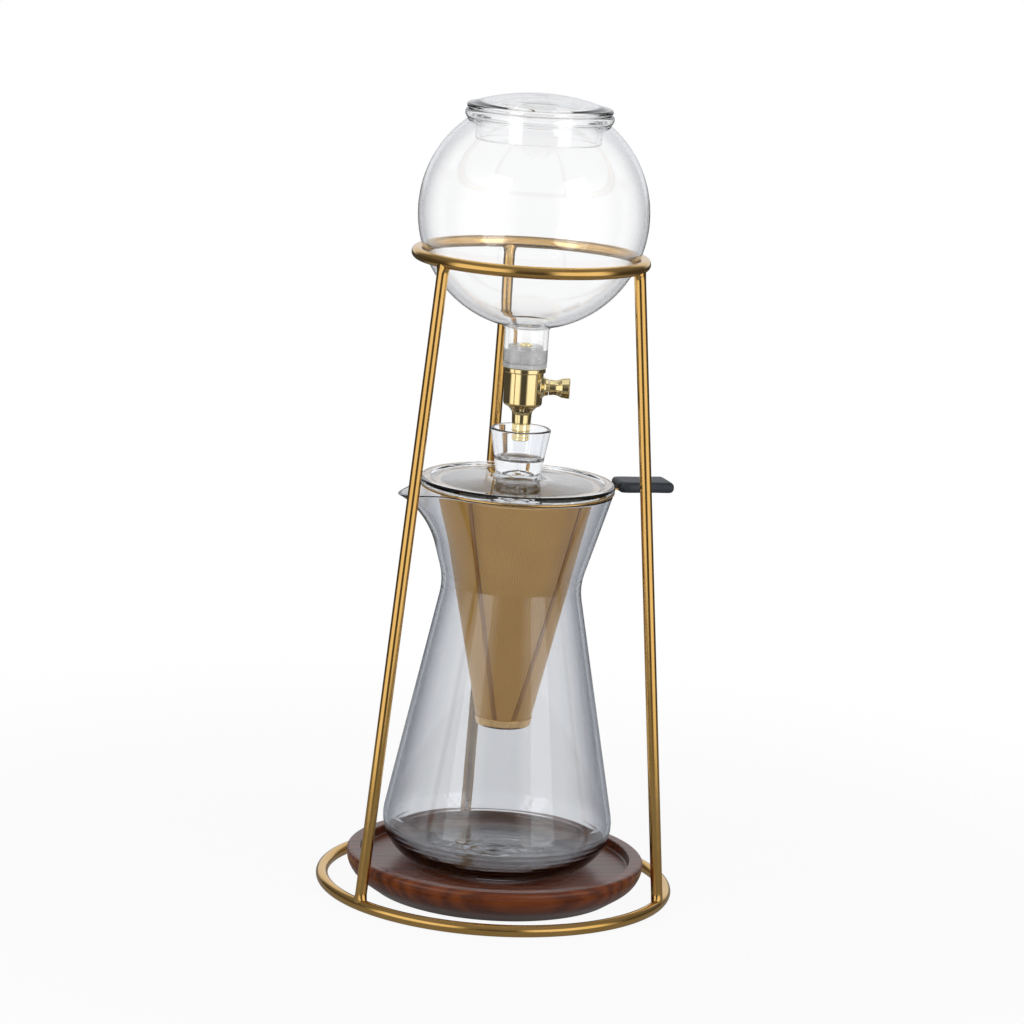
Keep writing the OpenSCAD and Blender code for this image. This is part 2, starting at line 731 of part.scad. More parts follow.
module globe_lid() {
    r = cap_d / 2;
    skirt_r = skirt_d / 2;
    rim_z = cap_z + cap_rim_h;
    color(glass) rotate_extrude() difference() {
        union() {
            polygon(rounded([
                [0, cap_z - skirt_h],
                [skirt_r, cap_z - skirt_h, skirt_end_r],
                [skirt_r, cap_z, cap_seat_r],
                [r, cap_z, cap_edge_r],
                [r, rim_z, cap_edge_r],
                [0, rim_z]
            ]));
            dome_outline(0, rim_z - cap_edge_r, r - cap_edge_r);
        }
        translate([0, cap_z - skirt_h - over]) square([skirt_r - cap_wall, skirt_h + over]);
        dome_outline(cap_wall, cap_z - over, skirt_r - cap_wall);
    }
}

// ---------------------------------------------------------------- silicone stopper

stopper_inset = 0.1;     // how far the flange lies inside the stem's outer face
stopper_edge_r = 0.5;    // rounding of the flange
plug_lead_h = 2;         // height of the plug's taper
plug_lead = 0.4;         // how far the plug tapers in
plug_tip_r = 0.6;        // rounding of its upper end

module valve_stopper() {
    plug_r = stem_d / 2 - globe_wall - push_gap;
    top_z = stem_end_z + stopper_plug_h;
    color([0.85, 0.87, 0.88, 0.7]) difference() {
        turned(rounded([
            [0, stopper_z],
            [stem_d / 2 - stopper_inset, stopper_z, stopper_edge_r],
            [stem_d / 2 - stopper_inset, stopper_z + stopper_flange_t, stopper_edge_r],
            [plug_r, stopper_z + stopper_flange_t],
            [plug_r, top_z - plug_lead_h],
            [plug_r - plug_lead, top_z, plug_tip_r],
            [0, top_z]
        ]));
        translate([0, 0, stopper_z - over])
            cylinder(h = top_z - stopper_z + 2 * over, r = tail_d / 2 + push_gap);
    }
}

// ---------------------------------------------------------------- needle valve
// Water comes down the tail, through an offset way into the chamber round the needle, past the
// needle's point through the seat, and down a second offset way to the nozzle.

tail_thread_l = 4.4;     // depth of the tail's thread in the body
tail_seat_z = body_top_z - tail_thread_l;
spigot_pocket_h = 5.5;   // depth of the pocket that takes the nozzle's spigot
spigot_gap = 1.5;        // how far the spigot stays short of the pocket's end
way_offset = 2.05;       // distance of the drilled ways from the valve's axis
seat_x = -0.2;           // where the seat's cone ends in the orifice, from the valve's axis
seat_l = 1.2;            // length of the seat's cone
thread_hold = 2.3;       // length of thread still held when the valve is fully open
bore_step_x = boss_reach - thread_hold - needle_pitch * knob_turns; // start of the thread's bore
seal_x = 5.1;            // middle of the seal's groove
seal_wire_d = 0.8;       // wire of the seal
groove_w = 1.1;          // width of the seal's groove
groove_r = chamber_d / 2 - 2 * running_gap - seal_wire_d + running_gap;
knob_gap = 0.3;          // distance of the knob from the boss when the valve is closed
knob_x = boss_reach + knob_gap;
knob_bore_r = 2;         // bore of the knob
needle_stub_l = 5;       // length of the needle inside the knob
cove_lip = 0.2;          // lip over the nozzle: how far it stands out, its height and rounding
cove_lip_h = 1.4;
cove_lip_r = 2.2;
cove_in = 2.4;           // upper corner of the cove: how far inside the body, and its rounding
cove_in_r = 1.6;
cove_out_h = 1;          // height over the cove at which the body is full, and its rounding
cove_out_r = 2;
flange_edge_r = 0.4;     // rounding of the body's flange
boss_root_x = 2;         // boss: where it starts, and the radius of its root
boss_root_r = 6.6;
boss_root_in = 0.9;      // where the root ends, inside the body's face
boss_neck_out = 0.9;     // where the neck starts, outside the body's face, its radius and rounding
boss_neck_r = 4.35;
boss_neck_round = 2.2;
boss_r = 4.1;            // radius of the boss's end and its rounding
boss_edge_r = 0.2;
thread_edge_r = 0.3;     // rounding of a thread's end
tail_over_plug = 0.8;    // how far the tail stands above the plug
tail_edge_r = 0.5;       // rounding of the tail's upper end
shoulder_r = 0.2;        // rounding of its shoulder
nozzle_edge_r = 0.4;     // rounding of the nozzle's end
nozzle_tip_h = 1.5;      // height of the nozzle's tip, its widening and rounding
nozzle_tip_out = 0.1;
nozzle_tip_r = 0.5;
nozzle_step_h = 2.2;     // height at which the nozzle has its width, and how far it is set in
nozzle_step_in = 0.5;
nozzle_ring_k = 0.35;    // height of the turned ring, as a share of the nozzle's length
nozzle_waist_in = 0.4;   // how far the nozzle is set in at that ring
nozzle_ring_in = 0.15;   // how far the ring itself is set in
nozzle_ring_h = 0.3;     // half the ring's height
point_l = 1.3;           // length of the needle's point past the seat
point_k = 0.45;          // radius of its blunt end, as a share of the point's
shank_r = 1.6;           // radius of the needle's shank
land_w = 0.5;            // width of the lands on both sides of the groove
thread_gap = 0.1;        // distance of the needle's thread from the bore's step
thread_lead = 0.3;       // length of the thread's lead
thread_end_in = 0.2;     // how far the thread ends inside the boss
neck_edge_r = 0.3;       // rounding of the neck's end
waist_k = 0.55;          // where the neck has its waist, as a share of its length
waist_r = 5;             // rounding of the waist
head_rise = 0.3;         // length of the head's bevel, its depth and rounding
head_bevel_r = 1.5;
head_edge_r = 0.5;       // rounding of the head's face
head_face_w = 1.2;       // width of the flat on that face, and its rounding
head_face_r = 0.4;
head_dish = 0.4;         // depth of the dished middle

// Places a piece that is drawn along +X on the needle's axis
module on_needle_axis() {
    rotate([0, 0, knob_angle]) translate([0, 0, needle_z]) children();
}

// Turned round the +X axis, from points [x, radius]
module turned_x(points) {
    rotate([90, 0, 90]) turned([for (p = points) [p.y, p.x]]);
}

// A bore along +X from x0 to x1
module bore_x(x0, x1, r) {
    translate([x0, 0, 0]) rotate([0, 90, 0]) cylinder(h = x1 - x0, r = r);
}

module valve_body() {
    r = body_d / 2;
    color(brass) difference() {
        union() {
            turned(rounded([
                [0, body_z],
                [nozzle_d / 2, body_z],
                [nozzle_d / 2 + cove_lip, body_z + cove_lip_h, cove_lip_r],
                [r - cove_in, body_z + cove_h, cove_in_r],
                [r, body_z + cove_h + cove_out_h, cove_out_r],
                [r, body_top_z - body_flange_t],
                [body_flange_d / 2, body_top_z - body_flange_t, flange_edge_r],
                [body_flange_d / 2, body_top_z, flange_edge_r],
                [0, body_top_z]
            ]));
            on_needle_axis() turned_x(rounded([
                [boss_root_x, 0],
                [boss_root_x, boss_root_r],
                [r - boss_root_in, boss_root_r],
                [r + boss_neck_out, boss_neck_r, boss_neck_round],
                [boss_reach, boss_r, boss_edge_r],
                [boss_reach, 0]
            ]));
        }
        translate([0, 0, tail_seat_z]) cylinder(h = body_h, d = joint_thread_d);
        translate([0, 0, body_z - over]) cylinder(h = spigot_pocket_h + over, d = joint_thread_d);
        on_needle_axis() {
            translate([way_offset, 0, 0]) cylinder(h = tail_seat_z - needle_z + over, d = way_d);
            translate([-way_offset, 0, body_z + spigot_pocket_h - over - needle_z])
                cylinder(h = needle_h - spigot_pocket_h + over, d = way_d);
            bore_x(-way_offset, seat_x + over, seat_d / 2);
            translate([seat_x, 0, 0]) rotate([0, 90, 0])
                cylinder(h = seat_l, r1 = seat_d / 2, r2 = chamber_d / 2);
            bore_x(seat_x + seat_l, boss_reach + over, chamber_d / 2);
            bore_x(bore_step_x, boss_reach + over, needle_thread_d / 2);
        }
    }
}

module valve_tail() {
    top_z = stem_end_z + stopper_plug_h + tail_over_plug;
    color(brass) difference() {
        turned(rounded([
            [0, tail_seat_z + push_gap],
            [joint_thread_d / 2 - push_gap, tail_seat_z + push_gap, thread_edge_r],
            [joint_thread_d / 2 - push_gap, body_top_z + push_gap],
            [tail_d / 2, body_top_z + push_gap, shoulder_r],
            [tail_d / 2, top_z, tail_edge_r],
            [0, top_z]
        ]));
        translate([0, 0, tail_seat_z - over])
            cylinder(h = top_z - tail_seat_z + 2 * over, d = tail_bore);
    }
}

module valve_nozzle() {
    spigot_z = body_z + spigot_pocket_h - spigot_gap;
    r = nozzle_d / 2;
    end_r = nozzle_end_d / 2;
    ring_z = nozzle_end_z + nozzle_l * nozzle_ring_k;
    color(brass) difference() {
        turned(rounded([
            [0, nozzle_end_z],
            [end_r, nozzle_end_z, nozzle_edge_r],
            [end_r + nozzle_tip_out, nozzle_end_z + nozzle_tip_h, nozzle_tip_r],
            [r - nozzle_step_in, nozzle_end_z + nozzle_step_h, nozzle_edge_r],
            [r - nozzle_waist_in, ring_z],
            [r - nozzle_ring_in, ring_z + nozzle_ring_h],
            [r - nozzle_waist_in, ring_z + 2 * nozzle_ring_h],
            [r, body_z - push_gap],
            [joint_thread_d / 2 - push_gap, body_z - push_gap],
            [joint_thread_d / 2 - push_gap, spigot_z, thread_edge_r],
            [0, spigot_z]
        ]));
        translate([0, 0, nozzle_end_z - over])
            cylinder(h = spigot_z - nozzle_end_z + 2 * over, d = nozzle_bore);
    }
}

// Spindle: taper point, seal groove between two lands, thread, and the stub that carries the knob
module needle() {
    land_r = chamber_d / 2 - running_gap;
    slope = (chamber_d - seat_d) / 2 / seat_l;
    tip_r = seat_d / 2 - running_gap;
    thread_r = needle_thread_d / 2 - running_gap;
    color(brass) on_needle_axis() turned_x([
        [seat_x - point_l, 0],
        [seat_x - point_l, tip_r * point_k],
        [seat_x, tip_r],
        [seat_x + (shank_r - tip_r) / slope, shank_r],
        [seal_x - groove_w / 2 - land_w, shank_r],
        [seal_x - groove_w / 2 - land_w, land_r],
        [seal_x - groove_w / 2, land_r],
        [seal_x - groove_w / 2, groove_r],
        [seal_x + groove_w / 2, groove_r],
        [seal_x + groove_w / 2, land_r],
        [seal_x + groove_w / 2 + land_w, land_r],
        [seal_x + groove_w / 2 + land_w, shank_r],
        [bore_step_x + thread_gap, shank_r],
        [bore_step_x + thread_gap + thread_lead, thread_r],
        [boss_reach - thread_end_in, thread_r],
        [boss_reach - thread_end_in, knob_bore_r - push_gap],
        [knob_x + needle_stub_l, knob_bore_r - push_gap],
        [knob_x + needle_stub_l, 0]
    ]);
}

module spindle_seal() {
    color("#30343a") on_needle_axis() translate([seal_x, 0, 0]) rotate([0, 90, 0])
        torus(chamber_d / 2 - running_gap / 2 - seal_wire_d / 2, seal_wire_d / 2);
}

module valve_knob() {
    neck_r = knob_neck_d / 2;
    head_r = knob_head_d / 2;
    head_x = knob_x + knob_neck_l;
    end_x = head_x + knob_head_l;
    color(brass) on_needle_axis() difference() {
        turned_x(rounded([
            [knob_x, 0],
            [knob_x, neck_r, neck_edge_r],
            [knob_x + knob_neck_l * waist_k, knob_waist_d / 2, waist_r, sweep_steps],
            [head_x + head_rise, head_r - head_rise, head_bevel_r],
            [end_x, head_r, head_edge_r],
            [end_x, head_r - head_face_w, head_face_r],
            [end_x - head_dish, 0]
        ]));
        bore_x(knob_x - over, knob_x + needle_stub_l + push_gap, knob_bore_r);
    }
}

base_ring();
top_ring();
leg_back();
leg_front_left();
leg_front_right();
wood_base();
jug();
filter_rim();
filter_outer_mesh();
filter_inner_mesh();
filter_base();
filter_seams();
handle_grip();
jug_lid();
globe();
globe_lid();
valve_stopper();
valve_tail();
valve_body();
valve_nozzle();
needle();
spindle_seal();
valve_knob();
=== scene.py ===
"""Looks of the cold drip coffee tower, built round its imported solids.

Every sub-assembly is a class. Its dataclass fields are its sizes in millimetres. Its methods build its
meshes, and its build method dresses them and hangs them on the bodies. Heights that another piece sets are
read from the frame.
"""

import logging
import math
from abc import ABC, abstractmethod
from dataclasses import dataclass
from enum import Enum
from typing import ClassVar, Sequence

import bmesh
import bpy
from mathutils import Matrix, Vector


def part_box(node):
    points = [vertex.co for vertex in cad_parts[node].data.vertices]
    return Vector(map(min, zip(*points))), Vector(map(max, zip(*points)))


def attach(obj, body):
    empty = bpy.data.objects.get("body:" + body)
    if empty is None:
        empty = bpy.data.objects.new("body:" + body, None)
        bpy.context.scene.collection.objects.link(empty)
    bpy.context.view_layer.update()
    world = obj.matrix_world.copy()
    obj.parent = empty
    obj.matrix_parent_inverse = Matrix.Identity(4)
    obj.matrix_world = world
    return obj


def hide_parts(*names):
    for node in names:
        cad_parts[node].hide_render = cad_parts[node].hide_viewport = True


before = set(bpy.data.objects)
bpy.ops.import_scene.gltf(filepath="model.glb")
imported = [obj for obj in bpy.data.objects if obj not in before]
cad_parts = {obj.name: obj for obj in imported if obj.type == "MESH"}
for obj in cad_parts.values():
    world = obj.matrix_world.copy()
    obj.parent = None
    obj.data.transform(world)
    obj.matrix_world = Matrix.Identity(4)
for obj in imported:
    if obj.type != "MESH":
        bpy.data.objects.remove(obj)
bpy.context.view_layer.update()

LOG = logging.getLogger("drip_tower")
MM = 0.001
SHARP_ANGLE = math.radians(38)
ARC_STEP = math.radians(9)
FEWEST_ARC_STEPS = 3
SAME_POINT = 1e-6
MERGE_DISTANCE = 0.0005 * MM
Corner = tuple[float, ...]
Span = tuple[float, float]
Colour = tuple[float, float, float, float]


# ---------------------------------------------------------------- outlines and meshes


def grey(value: float) -> Colour:
    """Returns a neutral colour of that value."""
    return (value, value, value, 1.0)


def heights(node: str) -> tuple[float, float]:
    """Returns the lowest and highest point of a CAD node, in millimetres."""
    low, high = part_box(node)
    return low.z / MM, high.z / MM


def corner_arc(before: Vector, corner: Vector, after: Vector, radius: float) -> list[Vector]:
    """Rounds one corner of an outline.

    Args:
        before: The point that the outline comes from.
        corner: The sharp corner.
        after: The point that it goes on to.
        radius: The radius of the rounding.

    Returns:
        The points of the arc, from the first tangent point to the last.
    """
    u = (before - corner).normalized()
    v = (after - corner).normalized()
    half = u.angle(v) / 2
    middle = corner + (u + v).normalized() * radius / math.sin(half)
    first = corner + u * radius / math.tan(half) - middle
    last = corner + v * radius / math.tan(half) - middle
    sweep = first.angle_signed(last)
    steps = max(FEWEST_ARC_STEPS, math.ceil(abs(sweep) / ARC_STEP))
    return [middle + Matrix.Rotation(-sweep * k / steps, 2) @ first for k in range(steps + 1)]


def outline(corners: Sequence[Corner], closed: bool = False, run: float = 8.0,
            hold: float = 0.3) -> list[Vector]:
    """Turns corners into the points of a half outline, with round corners as arcs.

    Straight stretches get a point near each end, so that smooth shading leaves them flat.

    Args:
        corners: Radius, height and, where the corner is round, its rounding, in millimetres.
        closed: Whether the outline comes back to its start.
        run: The longest stretch that stays undivided.
        hold: How far from its ends a stretch gets its extra points.

    Returns:
        The outline's points, in millimetres.
    """
    flat = [Vector(c[:2]) for c in corners]
    rounded: list[Vector] = []
    for i, corner in enumerate(corners):
        if len(corner) > 2 and corner[2] > 0:
            rounded += corner_arc(flat[i - 1], flat[i], flat[(i + 1) % len(flat)], corner[2])
        else:
            rounded.append(flat[i])
    points: list[Vector] = []
    for a, b in zip(rounded, rounded[1:] + (rounded[:1] if closed else [])):
        length = (b - a).length
        if length < SAME_POINT:
            continue
        points.append(a)
        if length > 3 * hold:
            points.append(a.lerp(b, hold / length))
            parts = math.ceil((length - 2 * hold) / run)
            points += [a.lerp(b, (hold + (length - 2 * hold) * k / parts) / length) for k in range(1, parts)]
            points.append(b.lerp(a, hold / length))
    if not closed:
        points.append(rounded[-1])
    return points


def dome_arc(radius: float, middle: float, start: float, end: float, steps: int) -> list[Corner]:
    """Gives the corners of an arc about a point on the axis.

    Args:
        radius: The arc's radius.
        middle: The height of its centre.
        start: Where it starts, as an angle from straight up.
        end: Where it ends.
        steps: How many steps it is divided into.

    Returns:
        The corners, with their ends.
    """
    turns = [start + (end - start) * k / steps for k in range(steps + 1)]
    return [(radius * math.sin(t), middle + radius * math.cos(t)) for t in turns]


def mark_sharp(bm: bmesh.types.BMesh) -> None:
    """Shades a mesh smooth, except over its sharp edges.

    Args:
        bm: The mesh.
    """
    for face in bm.faces:
        face.smooth = True
    for edge in bm.edges:
        if len(edge.link_faces) == 2:
            edge.smooth = edge.calc_face_angle() < SHARP_ANGLE


def clean_shell(bm: bmesh.types.BMesh) -> None:
    """Merges doubled points and turns every face outwards.

    Args:
        bm: The mesh, one or more closed shells.
    """
    bmesh.ops.remove_doubles(bm, verts=bm.verts, dist=MERGE_DISTANCE)
    bmesh.ops.dissolve_degenerate(bm, edges=bm.edges, dist=MERGE_DISTANCE)
    bmesh.ops.recalc_face_normals(bm, faces=bm.faces)


def spun(points: Sequence[Vector], steps: int, closed: bool = False) -> bmesh.types.BMesh:
    """Turns a half outline round the Z axis into a closed shell.

    Args:
        points: The outline, in millimetres.
        steps: The number of steps in a full turn.
        closed: Whether the outline's last point joins its first.

    Returns:
        The shell.
    """
    bm = bmesh.new()
    verts = [bm.verts.new((p.x * MM, 0, p.y * MM)) for p in points]
    ring = verts[1:] + (verts[:1] if closed else [])
    edges = [bm.edges.new(pair) for pair in zip(verts, ring)]
    bmesh.ops.spin(bm, geom=verts + edges, cent=(0, 0, 0), axis=(0, 0, 1), dvec=(0, 0, 0),
                   angle=math.tau, steps=steps, use_merge=True, use_duplicate=False)
    clean_shell(bm)
    return bm


def to_object(bm: bmesh.types.BMesh, name: str) -> bpy.types.Object:
    """Ends a bmesh as a shaded object at the origin.

    Args:
        bm: The finished mesh; it is freed.
        name: The piece's name.

    Returns:
        The new object, in the scene.
    """
    mark_sharp(bm)
    mesh = bpy.data.meshes.new(name)
    bm.to_mesh(mesh)
    bm.free()
    piece = bpy.data.objects.new(name, mesh)
    bpy.context.scene.collection.objects.link(piece)
    return piece


def turned(name: str, points: Sequence[Vector], steps: int, closed: bool = False) -> bpy.types.Object:
    """Returns a turned piece, made from its half outline."""
    return to_object(spun(points, steps, closed), name)


class Join(Enum):
    """How a solid meets the one that it is combined with."""

    ADDED = "UNION"
    CUT_OUT = "DIFFERENCE"


def joined(name: str, base: bpy.types.Object,
           tools: Sequence[tuple[bpy.types.Object, Join]]) -> bpy.types.Object:
    """Combines solids with exact booleans into one plain piece.

    Args:
        name: The new piece's name.
        base: The solid that the others are added to or cut from; it is removed.
        tools: Each other solid, which is removed, and how it meets the base.

    Returns:
        The new object, with no modifiers left on it.
    """
    for tool, how in tools:
        cut = base.modifiers.new(how.value, "BOOLEAN")
        cut.operation = how.value
        cut.solver = "EXACT"
        cut.object = tool
    depsgraph = bpy.context.evaluated_depsgraph_get()
    bm = bmesh.new()
    bm.from_mesh(bpy.data.meshes.new_from_object(base.evaluated_get(depsgraph)))
    for spare in [base, *(tool for tool, _ in tools)]:
        bpy.data.objects.remove(spare)
    clean_shell(bm)
    return to_object(bm, name)


# ---------------------------------------------------------------- shader helpers


class NodeSheet:
    """Adds and links the nodes of one material, group or world in short calls."""

    def __init__(self, tree: bpy.types.NodeTree) -> None:
        """Keeps the tree that the nodes go into."""
        self.tree = tree

    def add(self, kind: str, inputs: dict | None = None, **settings: object) -> bpy.types.Node:
        """Adds one node.

        Args:
            kind: Blender's name of the node type, without ShaderNode.
            inputs: Values or sockets for its inputs, by name or number.
            **settings: Its other settings.

        Returns:
            The new node.
        """
        node = self.tree.nodes.new("ShaderNode" + kind)
        for key, value in settings.items():
            setattr(node, key, value)
        for key, value in (inputs or {}).items():
            self.feed(node, key, value)
        return node

    def feed(self, node: bpy.types.Node, key: str | int, value: object) -> None:
        """Links a socket to a node's input, or sets the input to a value.

        Args:
            node: The node that is fed.
            key: The input's name or number.
            value: A socket or a value.
        """
        if isinstance(value, bpy.types.NodeSocket):
            self.tree.links.new(value, node.inputs[key])
        else:
            node.inputs[key].default_value = value

    def math(self, operation: str, a: object, b: object = 0.0) -> bpy.types.NodeSocket:
        """Returns the output of a Math node on two values or sockets."""
        return self.add("Math", {0: a, 1: b}, operation=operation).outputs[0]

    def ramp(self, factor: bpy.types.NodeSocket,
             stops: Sequence[tuple[float, Colour]]) -> bpy.types.NodeSocket:
        """Picks a colour between stops.

        Args:
            factor: What picks it, from 0 to 1.
            stops: Each stop's place and colour.

        Returns:
            The colour.
        """
        node = self.add("ValToRGB", {"Fac": factor})
        elements = node.color_ramp.elements
        while len(elements) < len(stops):
            elements.new(1.0)
        for element, (place, colour) in zip(elements, stops):
            element.position = place
            element.color = colour
        return node.outputs["Color"]

    def spread(self, factor: bpy.types.NodeSocket, low: float, high: float) -> bpy.types.NodeSocket:
        """Returns a factor from 0 to 1 spread between two values."""
        return self.add("MapRange", {"Value": factor, "To Min": low, "To Max": high}).outputs["Result"]

    def progress(self, value: bpy.types.NodeSocket, span: Span) -> bpy.types.NodeSocket:
        """Returns how far a value has come, from 0 at the span's first number to 1 at its second."""
        return self.add("MapRange", {"Value": value, "From Min": span[0],
                                     "From Max": span[1]}).outputs["Result"]

    def mix(self, factor: object, a: object, b: object, kind: str = "RGBA") -> bpy.types.NodeSocket:
        """Returns two colours, or with FLOAT as the kind two values, mixed by a factor."""
        return self.add("Mix", {"Factor": factor, "A": a, "B": b}, data_type=kind).outputs["Result"]

    def relief(self, skin: bpy.types.Node, height: bpy.types.NodeSocket, strength: float,
               depth: float) -> None:
        """Gives a shader the relief of a height, with its depth in millimetres."""
        node = self.add("Bump", {"Height": height, "Strength": strength, "Distance": depth * MM})
        self.feed(skin, "Normal", node.outputs["Normal"])


def empty_sheet(owner: bpy.types.Material | bpy.types.World) -> NodeSheet:
    """Empties the nodes of a new material or world.

    Args:
        owner: The material or world.

    Returns:
        Its empty sheet.
    """
    owner.use_nodes = True
    owner.node_tree.nodes.clear()
    return NodeSheet(owner.node_tree)


class SharedEffect(Enum):
    """The node groups that more than one finish uses."""

    SMUDGE = "uneven polish"
    TOOL_LINES = "turning lines"


EFFECT_STRETCH = {SharedEffect.SMUDGE: (1, 1, 1), SharedEffect.TOOL_LINES: (0.02, 0.02, 1)}
EFFECT_DETAIL = 3.0
EFFECT_SPAN: Span = (0.3, 0.7)


def shared_group(effect: SharedEffect) -> bpy.types.NodeTree:
    """Builds a shared node group the first time that it is asked for.

    Args:
        effect: Which effect.

    Returns:
        Its group, the same one each time.
    """
    known = bpy.data.node_groups.get(effect.value)
    if known:
        return known
    tree = bpy.data.node_groups.new(effect.value, "ShaderNodeTree")
    face = tree.interface
    face.new_socket("Vector", in_out="INPUT", socket_type="NodeSocketVector")
    for name in ("Scale", "Low", "High"):
        face.new_socket(name, in_out="INPUT", socket_type="NodeSocketFloat")
    face.new_socket("Value", in_out="OUTPUT", socket_type="NodeSocketFloat")
    sheet = NodeSheet(tree)
    given = tree.nodes.new("NodeGroupInput")
    result = tree.nodes.new("NodeGroupOutput")
    place = sheet.add("Mapping", {"Vector": given.outputs["Vector"], "Scale": EFFECT_STRETCH[effect]})
    noise = sheet.add("TexNoise", {"Vector": place.outputs["Vector"], "Scale": given.outputs["Scale"],
                                   "Detail": EFFECT_DETAIL})
    value = sheet.add("MapRange", {"Value": noise.outputs["Fac"], "From Min": EFFECT_SPAN[0],
                                   "From Max": EFFECT_SPAN[1], "To Min": given.outputs["Low"],
                                   "To Max": given.outputs["High"]})
    sheet.feed(result, "Value", value.outputs["Result"])
    return tree


class Finish(ABC):
    """A finish that makes its material once and hands out the same one afterwards."""

    label: str

    def material(self) -> bpy.types.Material:
        """Builds the finish's material the first time that it is asked for.

        Returns:
            The material, the same one each time.
        """
        known = bpy.data.materials.get(self.label)
        if known:
            return known
        made = bpy.data.materials.new(self.label)
        sheet = empty_sheet(made)
        skin = sheet.add("BsdfPrincipled")
        sheet.add("OutputMaterial", {"Surface": skin.outputs["BSDF"]})
        self.shade(sheet, skin)
        return made

    @abstractmethod
    def shade(self, sheet: NodeSheet, skin: bpy.types.Node) -> None:
        """Sets the Principled shader and what feeds it.

        Args:
            sheet: The material's nodes.
            skin: Its Principled shader.
        """

    @staticmethod
    def place(sheet: NodeSheet) -> bpy.types.NodeSocket:
        """Returns the point on the piece, in the object's own frame."""
        return sheet.add("TexCoord").outputs["Object"]

    @staticmethod
    def effect(sheet: NodeSheet, effect: SharedEffect, where: bpy.types.NodeSocket, scale: float,
               low: float = 0.0, high: float = 1.0) -> bpy.types.NodeSocket:
        """Places a shared effect in this finish.

        Args:
            sheet: The material's nodes.
            effect: Which effect.
            where: The coordinates that it follows.
            scale: How many patches it has in a metre.
            low: The value of its dark patches.
            high: The value of its light patches.

        Returns:
            The effect's value.
        """
        node = sheet.add("Group", node_tree=shared_group(effect))
        for key, value in {"Vector": where, "Scale": scale, "Low": low, "High": high}.items():
            sheet.feed(node, key, value)
        return node.outputs["Value"]


@dataclass(frozen=True)
class PlatedMetal(Finish):
    """Polished metal: gold plate on wire and pressed steel, or turned brass."""

    label: str
    colour: Colour
    shade_colour: Colour
    low_roughness: float
    high_roughness: float
    lines_per_metre: float
    line_strength: float
    line_depth: float = 0.05
    tone_scale: float = 45.0
    polish_scale: float = 90.0

    def shade(self, sheet: NodeSheet, skin: bpy.types.Node) -> None:
        """Gives the metal its tint, its uneven polish and its fine tool lines.

        Args:
            sheet: The material's nodes.
            skin: Its Principled shader.
        """
        where = self.place(sheet)
        tone = self.effect(sheet, SharedEffect.SMUDGE, where, self.tone_scale)
        polish = self.effect(sheet, SharedEffect.SMUDGE, where, self.polish_scale, self.low_roughness,
                             self.high_roughness)
        sheet.feed(skin, "Base Color", sheet.mix(tone, self.shade_colour, self.colour))
        sheet.feed(skin, "Metallic", 1.0)
        sheet.feed(skin, "Roughness", polish)
        if self.line_strength > 0:
            lines = self.effect(sheet, SharedEffect.TOOL_LINES, where, self.lines_per_metre)
            sheet.relief(skin, lines, self.line_strength, self.line_depth)


@dataclass(frozen=True)
class ClearGlass(Finish):
    """Clear glass whose edges go grey blue: partly the tint that thick glass shows seen along its wall,
    partly painted shade for the darker surroundings that its edges show.
    """

    label: str
    face: Colour
    edge: Colour
    edge_start: float
    edge_end: float
    shine: float
    facing_blend: float = 0.5
    wave_scale: float = 28.0
    wave_strength: float = 0.12
    wave_depth: float = 0.12
    ior: float = 1.5

    def shade(self, sheet: NodeSheet, skin: bpy.types.Node) -> None:
        """Sets plain transmission, the tint towards the edges, which is partly painted shade, and the faint
        waves of blown glass.

        Args:
            sheet: The material's nodes.
            skin: Its Principled shader.
        """
        facing = sheet.add("LayerWeight", {"Blend": self.facing_blend}).outputs["Facing"]
        waves = self.effect(sheet, SharedEffect.SMUDGE, self.place(sheet), self.wave_scale)
        # Partly painted shade: the base colour darkens towards the edge colour where the surface turns away
        # from view.
        sheet.feed(skin, "Base Color", sheet.ramp(facing, [(self.edge_start, self.face),
                                                           (self.edge_end, self.edge)]))
        sheet.feed(skin, "Metallic", 0.0)
        sheet.feed(skin, "Roughness", 0.0)
        sheet.feed(skin, "IOR", self.ior)
        sheet.feed(skin, "Specular IOR Level", self.shine)
        sheet.feed(skin, "Transmission Weight", 1.0)
        sheet.relief(skin, waves, self.wave_strength, self.wave_depth)


@dataclass(frozen=True)
class Silicone(Finish):
    """Milky silicone that still lets light through."""

    label: str
    colour: Colour
    cloud: Colour
    clearness: float
    cloud_scale: float = 240.0
    polish_scale: float = 400.0
    roughness: Span = (0.16, 0.30)
    ior: float = 1.41

    def shade(self, sheet: NodeSheet, skin: bpy.types.Node) -> None:
        """Sets a rough transmission with a cloudy colour.

        Args:
            sheet: The material's nodes.
            skin: Its Principled shader.
        """
        where = self.place(sheet)
        clouds = self.effect(sheet, SharedEffect.SMUDGE, where, self.cloud_scale)
        sheet.feed(skin, "Base Color", sheet.mix(clouds, self.cloud, self.colour))
        sheet.feed(skin, "Metallic", 0.0)
        sheet.feed(skin, "Roughness", self.effect(sheet, SharedEffect.SMUDGE, where, self.polish_scale,
                                                  *self.roughness))
        sheet.feed(skin, "IOR", self.ior)
        sheet.feed(skin, "Transmission Weight", self.clearness)


